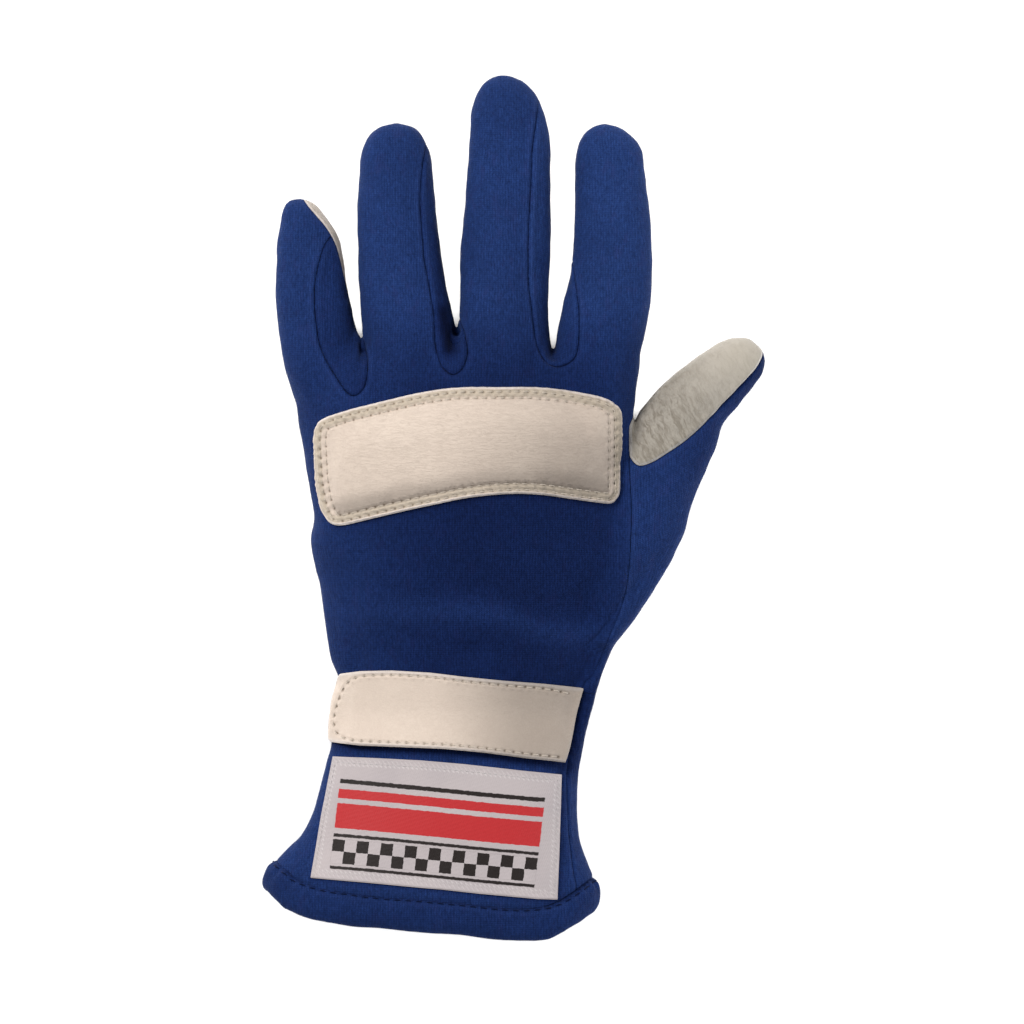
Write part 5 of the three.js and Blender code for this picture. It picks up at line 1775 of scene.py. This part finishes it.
class Row:
    """A closed or open row of stitches seen from above, its holes and the
    distance of points from it."""

    def __init__(self, line, pitch, closed):
        from mathutils.kdtree import KDTree

        pts = np.vstack([line, line[:1]]) if closed else np.asarray(line)
        self.line, self.closed = np.asarray(line), closed
        s = np.r_[0, np.cumsum(np.linalg.norm(np.diff(pts, axis=0), axis=1))]
        self.count = max(1, int(round(s[-1] / pitch)))
        self.unit = s[-1] / self.count
        fine = np.linspace(0, s[-1], int(s[-1] / 0.12))
        self.s = fine
        self.xy = np.stack([np.interp(fine, s, pts[:, k]) for k in range(2)], 1)
        self.tree = KDTree(len(fine))
        for i, q in enumerate(self.xy):
            self.tree.insert((q[0], q[1], 0.0), i)
        self.tree.balance()

    def near(self, p, reach):
        """Distance across the row and place along it, for points within reach."""
        d, at = np.full(len(p), 99.0), np.zeros(len(p))
        x0, y0 = self.xy.min(0) - reach
        x1, y1 = self.xy.max(0) + reach
        ok = (p[:, 0] > x0) & (p[:, 0] < x1) & (p[:, 1] > y0) & (p[:, 1] < y1)
        for i in np.flatnonzero(ok):
            _, j, dist = self.tree.find((p[i, 0], p[i, 1], 0.0))
            if dist < reach:
                d[i], at[i] = dist, self.s[j]
        return d, at


def sewn(rows, p, share, deep=0.26, hole=0.24, wide=0.34):
    """What rows of stitches do to leather: how far it is drawn down, and how
    near each point is to a needle hole (1 in it)."""
    down, near = np.zeros(len(p)), np.zeros(len(p))
    for row in rows:
        d, at = row.near(p, 2.2)
        phase = (at / row.unit) % 1.0
        from_hole = np.abs(phase - (1 + share) / 2) * row.unit
        from_hole = np.minimum(from_hole, row.unit - from_hole)
        down += deep * np.exp(-((d / 0.45) ** 2)) * (0.6 + 0.4 * np.cos(2 * np.pi * from_hole / row.unit))
        r = np.hypot(d, from_hole)
        down += hole * np.exp(-((r / wide) ** 2))
        # between the holes the leather swells a little beside the thread
        down -= 0.24 * np.exp(-(((d - 0.85) / 0.4) ** 2)) * np.clip(from_hole / row.unit * 2, 0, 1) ** 2
        near = np.maximum(near, np.exp(-((r / (wide * 1.05)) ** 4)))
    return down, near


PAD_SHARE = 0.80
PAD_ROWS = [Row(inset(PAD_AREA, 1.35, 0.4), 2.9, True), Row(inset(PAD_AREA, 3.35, 0.4), 2.9, True)]


def pad_height(d, v):
    h = 1.3 * (0.45 + 0.55 * smooth(0.0, 0.55, d))
    down, _ = sewn(PAD_ROWS, seen(v), PAD_SHARE)
    h -= down
    # the leather puffs up between the two rows, stitch by stitch
    _, at = PAD_ROWS[1].near(seen(v), 2.6)
    beat = np.cos(2 * np.pi * at / PAD_ROWS[1].unit)
    h += (0.16 + 0.24 * beat) * np.exp(-(((d - 2.35) / 0.62) ** 2))
    h += 0.10 * noise(v, 1.9, 32, 1) * smooth(4.2, 3.2, d)
    return h


def pad_crown(d, v):
    """The height of the simulated filling over the inner row of stitches, with
    a cap on how far it may lift."""
    lifted = np.zeros(len(v))
    for i, (x, y) in enumerate(seen(v)):
        if d[i] > 3.3:
            at = FILLING.ray_cast(Vector((x, y, 30)), Vector((0, 0, -1)))[0]
            lifted[i] = 0 if at is None else at.z
    rise = np.maximum(soft_min(lifted, PAD_CROWN - 1.3, 1.0), 0)
    return rise + 0.05 * noise(v, 22, 31, 1) * smooth(4, 9, d)


pad, pad_top, pad_t, pad_at = patch_object(
    "knuckle_pad_leather", pad_field, (-70, 41, -13, 45, 12), CREAM,
    (0.5, 1.35, 2.35, 3.35, 4.3), pad_height, 0.1, 4.8, 1.3, pad_crown,
)
_, pad_holes = sewn(PAD_ROWS, seen(pad_at), PAD_SHARE)
add_field(pad, "hole", np.concatenate([pad_holes, pad_holes * 0]))
pad_x, pad_y = seen(pad_at).T
foot_y = np.interp(pad_x, [-58, -34.9, -7.9, 9.2, 31], [-6.1, -1.6, 3.4, 3.5, 0.7])
pad_h = pad_y - foot_y
# painted shade: the pad darker towards its right end, less so near its top, and darker just above its bottom row of
# stitches where its crown falls away
pad_painted_shade = 0.06 + (0.36 * smooth(-28, 22, pad_x) - 0.05 * smooth(22, 28, pad_x)) * (
    1 - 0.5 * smooth(17, 31, pad_y)
)
pad_painted_shade += smooth(2.6, 3.6, pad_field(pad_at)) * (
    (0.33 - 0.16 * smooth(-18, 6, pad_x)) * smooth(10, 4.4, pad_h)
    + 0.06 * smooth(14, 8, pad_h) * smooth(0, 15, pad_x)
)
add_field(pad, "deep", np.concatenate([pad_painted_shade, pad_painted_shade]))
keep_piece(pad, "knuckle_pad")
pad_tree = tree_of(pad_top, pad_t)


def lay(row, tree):
    """The row on the surface that the camera sees it on."""
    pts = np.vstack([row.line, row.line[:1]]) if row.closed else row.line
    out = pts.copy()
    for _ in range(3):  # a point seen at x, y lies nearer the middle when it's high
        z = np.array([
            (lambda h: h[2] if h is not None else VIEW_Z)(
                tree.ray_cast(Vector((x, y, 80)), Vector((0, 0, -1)))[0]
            )
            for x, y in out
        ])
        k = (VIEW_FAR + VIEW_Z - z) / VIEW_FAR
        out = np.stack(
            [VIEW_X + (pts[:, 0] - VIEW_X) * k, VIEW_Y + (pts[:, 1] - VIEW_Y) * k], 1
        )
    return drape(out, tree)


s = stitch_object(
    "knuckle_pad_stitches", lay(PAD_ROWS[0], pad_tree) + lay(PAD_ROWS[1], pad_tree),
    THREAD, length=2.9 * PAD_SHARE, gap=2.9 * (1 - PAD_SHARE), width=0.34, sink=0.30,
)
keep_piece(s, None)

# the wrist strap: sewn in at the thumb side, rounded at its free end
STRAP_LINE = np.array(STRAP)


def strap_field(v):
    p = seen(v)
    off = p[:, 1] + 68.5
    t = np.where(off > 0, off / 14.5, -off / 7.6)
    end = 14.6 + 7.0 * np.clip(t, 0, 1.6) ** 2.3
    wrap = v[:, 2] - np.where(p[:, 0] > -20, 18.5, end)
    return soft_min(-area_distance(p, STRAP_LINE), wrap, 1.6)


STRAP_ROWS = [
    Row(even(catmull([
        (17.6, -60.0), (9.6, -58.5), (-3.4, -57.4), (-16.5, -56.1), (-26.8, -54.8),
        (-39.1, -54.1), (-46.5, -54.3), (-50.2, -54.8), (-53.0, -56.2), (-55.0, -58.8),
        (-56.5, -62.5), (-57.6, -66.6), (-57.7, -70.2), (-56.6, -73.0), (-53.4, -74.6),
        (-48.6, -75.2), (-35.8, -75.7), (-22.6, -76.3), (-9.5, -77.5), (3.6, -79.2),
        (14.6, -80.4),
    ], 8), 0.4), 2.9, False),
]
STRAP_SHARE = 0.78


def strap_thick(v):
    return STRAP_THICK - 0.9 * smooth(-50, -57, v[:, 0])


def strap_height(d, v):
    h = strap_thick(v) * (0.62 + 0.38 * smooth(0.0, 0.6, d))
    down, _ = sewn(STRAP_ROWS, seen(v), STRAP_SHARE, 0.26, 0.30, 0.38)
    h -= down * smooth(18.5, 16.5, v[:, 0])
    h += 0.03 * noise(v, 14, 41, 2)
    return h


def strap_lift(v):
    low = smooth(-64, -79, v[:, 1]) * smooth(-58, -50, v[:, 0])
    return 0.15 + 1.7 * low


strap, strap_top, strap_t, strap_at = patch_object(
    "wrist_strap_leather", strap_field, (-72, 30, -88, -46, 8), STRAP_SKIN,
    (0.6, 1.4, 2.2), strap_height, strap_lift, 2.8, strap_thick,
)
_, strap_holes = sewn(STRAP_ROWS, seen(strap_at), STRAP_SHARE, 0.26, 0.30, 0.38)
add_field(strap, "hole", np.concatenate([strap_holes, strap_holes * 0]))
# painted shade: the strap darker towards its right end
strap_painted_shade = 0.06 + 0.41 * smooth(-30, 5, strap_at[:, 0])
add_field(strap, "deep", np.concatenate([strap_painted_shade, strap_painted_shade]))
keep_piece(strap, "wrist_strap")
strap_tree = tree_of(strap_top, strap_t)
s = stitch_object(
    "wrist_strap_stitches", lay(STRAP_ROWS[0], strap_tree),
    THREAD, length=2.9 * STRAP_SHARE, gap=2.9 * (1 - STRAP_SHARE), width=0.34, sink=0.28,
)
keep_piece(s, None)

# the woven label
LABEL_LINE = np.array(LABEL)


def label_field(v):
    return np.minimum(-area_distance(seen(v), LABEL_LINE), v[:, 2] - 20.0)


def label_height(d, v):
    h = LABEL_THICK * (0.6 + 0.4 * smooth(0.0, 0.4, d))
    h -= 0.10 * np.exp(-(((d - 1.6) / 0.7) ** 2)) * (1 + 0.5 * noise(v, 3, 51, 1))
    h += 0.05 * noise(v, 22, 52, 1)
    return h


label, label_top, label_t, label_at = patch_object(
    "cuff_label", label_field, (-72, 22, -130, -74, 12), LABEL_CLOTH,
    (0.4, 1.6), label_height, 0.1, 2.2, LABEL_THICK,
)
keep_piece(label, "label")
lp = seen(label_at)
lu = lp[:, 0] + 64.0 + (lp[:, 1] + 119) * -0.12
across = np.clip((lp[:, 0] + 60) / 75, 0, 1)
foot = np.interp(lp[:, 0], [-64.9, -47.0, -30.1, -11.3, 7.4, 13.8], [-119.1, -120.6, -122.2, -124.1, -125.8, -126.0])
lv = lp[:, 1] - foot
cloth = np.stack([lu, lv, lu * 0], 1)
add_field(label, "cloth", np.vstack([cloth, cloth]))
label_tree = tree_of(label_top, label_t)
s = stitch_object(
    "cuff_label_stitches", drape(inset(LABEL_LINE, 1.1), label_tree, True),
    THREAD_WHITE, length=1.3, gap=0.5, width=0.24, sink=0.10,
)
keep_piece(s, None)

# ------------------------------------------------------------------ hem
HEM_PROFILE = [  # down the hem's height, out from the cuff
    (0.00, -0.45), (0.03, 0.05), (0.08, 0.55), (0.17, 1.05), (0.30, 1.4), (0.45, 1.5),
    (0.60, 1.45), (0.74, 1.2), (0.86, 0.75), (0.95, 0.1), (1.0, -0.7), (1.015, -1.5),
    (0.99, -2.3), (0.92, -2.95), (0.80, -3.3), (0.60, -3.5), (0.40, -3.5), (0.20, -3.35),
    (0.06, -3.0), (-0.03, -2.4), (-0.05, -1.7), (-0.03, -1.0),
]
HEM_HIGH = 9.8


def hem_form(count=440):
    rows = np.array(catmull(HAND[:9], 8))
    rows = rows[np.argsort(rows[:, 0])]
    a = (np.arange(count) + 0.5) / count * 2 * np.pi
    u, w = power(np.cos(a), HAND_N), power(np.sin(a), HAND_N)
    around = np.stack([np.cos(a), np.sin(a)], 1)
    prof = even(catmull(HEM_PROFILE, 3, closed=True) * [HEM_HIGH, 1.0], 0.55, closed=True)
    rings, seam = [], []
    puff = 1 + 0.16 * noise(around * 40, 22, 61, 2)
    pinch = 0.30 * noise(around * 48, 6.0, 62, 1)
    wave = 0.45 * noise(around * 40, 30, 63, 2)
    for down, out in prof:
        s = down / HEM_HIGH
        y = -111.2 - down
        l, r, top, mid, bot = (np.interp(y, rows[:, 0], rows[:, k]) for k in range(1, 6))
        x = (l + r) / 2 + (r - l) / 2 * u
        z = mid + w * np.where(w > 0, top - mid, mid - bot)
        # outward, from the ring's own direction
        dx = np.roll(x, -1) - np.roll(x, 1)
        dz = np.roll(z, -1) - np.roll(z, 1)
        n = np.stack([dz, -dx], 1)
        n /= np.linalg.norm(n, axis=1)[:, None]
        for _ in range(8):
            n = np.roll(n, 1, 0) + 2 * n + np.roll(n, -1, 0)
            n /= np.linalg.norm(n, axis=1)[:, None]
        o = out * (puff if out > 0 else 1.0)
        o = o + pinch * np.exp(-(((s - 0.12) / 0.16) ** 2)) * (1 if out > -0.5 else 0)
        bottom = smooth(0.5, 1.0, s)
        p = np.stack([x + n[:, 0] * o, y - hem_dip(u) + wave * bottom, z + n[:, 1] * o], 1)
        p[:, 2] = np.maximum(p[:, 2], 0.0 if out > -1.6 else 1.6)
        rings.append(p)
        seam.append(np.full(count, abs(down) + (3 if out < -1 else 0)))
    v = np.vstack(rings)
    m = len(rings)
    f = []
    for i in range(m):
        for j in range(count):
            j2, i2 = (j + 1) % count, (i + 1) % m
            f.append((i * count + j, i * count + j2, i2 * count + j2, i2 * count + j))
    f = np.array(f)
    vol = np.einsum("ij,ij->i", v[f[:, 0]], np.cross(v[f[:, 1]], v[f[:, 2]])).sum()
    vol += np.einsum("ij,ij->i", v[f[:, 0]], np.cross(v[f[:, 2]], v[f[:, 3]])).sum()
    if vol < 0:
        f = f[:, ::-1]
    return v, f, np.concatenate(seam), m, count


hem_v, hem_f, hem_seam, hem_rings, hem_count = hem_form()
hem = add_object("cuff_hem_cloth", hem_v, hem_f, KNIT)
hem_t = np.vstack([hem_f[:, [0, 1, 2]], hem_f[:, [0, 2, 3]]])
hem_n = normals(hem_v, hem_t)
add_field(hem, "seam", hem_seam)
add_field(
    hem, "wall",
    smooth(0.4, 0.6, np.abs(hem_n[:, 0]) / (np.abs(hem_n[:, 0]) + np.abs(hem_n[:, 2]) + 1e-6)),
)
# painted shade: the hem's knit a little darker all over
add_field(hem, "deep", np.full(len(hem_v), 0.24))
keep_piece(hem, "cuff_hem")
# the row of stitches over it
row = int(np.argmin(np.abs(hem_seam.reshape(hem_rings, -1)[: hem_rings // 2, 0] - 0.75)))
ring_v = hem_v.reshape(hem_rings, hem_count, 3)[row]
ring_n = hem_n.reshape(hem_rings, hem_count, 3)[row]
run = [(np.vstack([ring_v, ring_v[:1]]), np.vstack([ring_n, ring_n[:1]]))]
s = stitch_object(
    "cuff_hem_stitches", run, THREAD_BLUE, length=2.2, gap=1.2, width=0.46, sink=0.16,
    keep=lambda c: c[2] > 3.0,
)
keep_piece(s, None)

# ------------------------------------------------------------------ studio
def pale_floor():
    mesh = bpy.data.meshes.new("floor")
    mesh.from_pydata([(-3, -3, 0), (3, -3, 0), (3, 3, 0), (-3, 3, 0)], [], [(0, 1, 2, 3)])
    obj = bpy.data.objects.new("floor", mesh)
    bpy.context.scene.collection.objects.link(obj)
    mat, nt, bsdf = new_material("floor_paper")
    q = Nodes(nt)
    bsdf.inputs["Base Color"].default_value = (0.93, 0.93, 0.93, 1)
    bsdf.inputs["Roughness"].default_value = 0.9
    bsdf.inputs["Specular IOR Level"].default_value = 0.1
    mesh.materials.append(mat)
    return obj


pale_floor()


def area_light(name, at, size, watts, colour=(1, 1, 1), target=(-0.01, 0.0, 0.015)):
    data = bpy.data.lights.new(name, "AREA")
    data.shape = "DISK"
    data.size = size
    data.energy = watts
    data.color = colour
    obj = bpy.data.objects.new(name, data)
    obj.location = at
    obj.rotation_euler = (Vector(target) - Vector(at)).to_track_quat("-Z", "Y").to_euler()
    bpy.context.scene.collection.objects.link(obj)
    return obj


key = area_light("key", (-0.66, 0.68, 1.0), 0.6, 18.0, (1.0, 0.985, 0.965))
fill = area_light("fill", (0.95, -0.25, 0.75), 0.9, 7.0, (0.97, 0.985, 1.0))
paper_light = area_light("paper_light", (0.0, 0.0, 1.6), 0.5, 46.0, (1, 1, 1), (0, 0, 0))
lit = bpy.data.collections.new("glove_lit")
for o in MADE:
    lit.objects.link(o)
key.light_linking.receiver_collection = lit
fill.light_linking.receiver_collection = lit
paper = bpy.data.collections.new("paper_lit")
paper.objects.link(bpy.data.objects["floor"])
paper_light.light_linking.receiver_collection = paper
world = bpy.data.worlds.new("studio")
world.use_nodes = True
world.node_tree.nodes["Background"].inputs[0].default_value = (1, 1, 1, 1)
world.node_tree.nodes["Background"].inputs[1].default_value = 0.29
bpy.context.scene.world = world
bpy.context.scene.view_settings.view_transform = "Standard"
bpy.context.scene.view_settings.look = "None"

cam_data = bpy.data.cameras.new("camera")
cam_data.lens = LENS
cam_data.sensor_width = 36.0
cam_data.clip_start = 0.05
cam_data.clip_end = 20.0
cam = bpy.data.objects.new("camera", cam_data)
cam.location = (VIEW_X / 1000, VIEW_Y / 1000, (VIEW_Z + VIEW_FAR) / 1000)
cam.rotation_euler = (0, 0, 0)
bpy.context.scene.collection.objects.link(cam)
bpy.context.scene.camera = cam

for o in MADE:
    print(o.name, len(o.data.polygons))
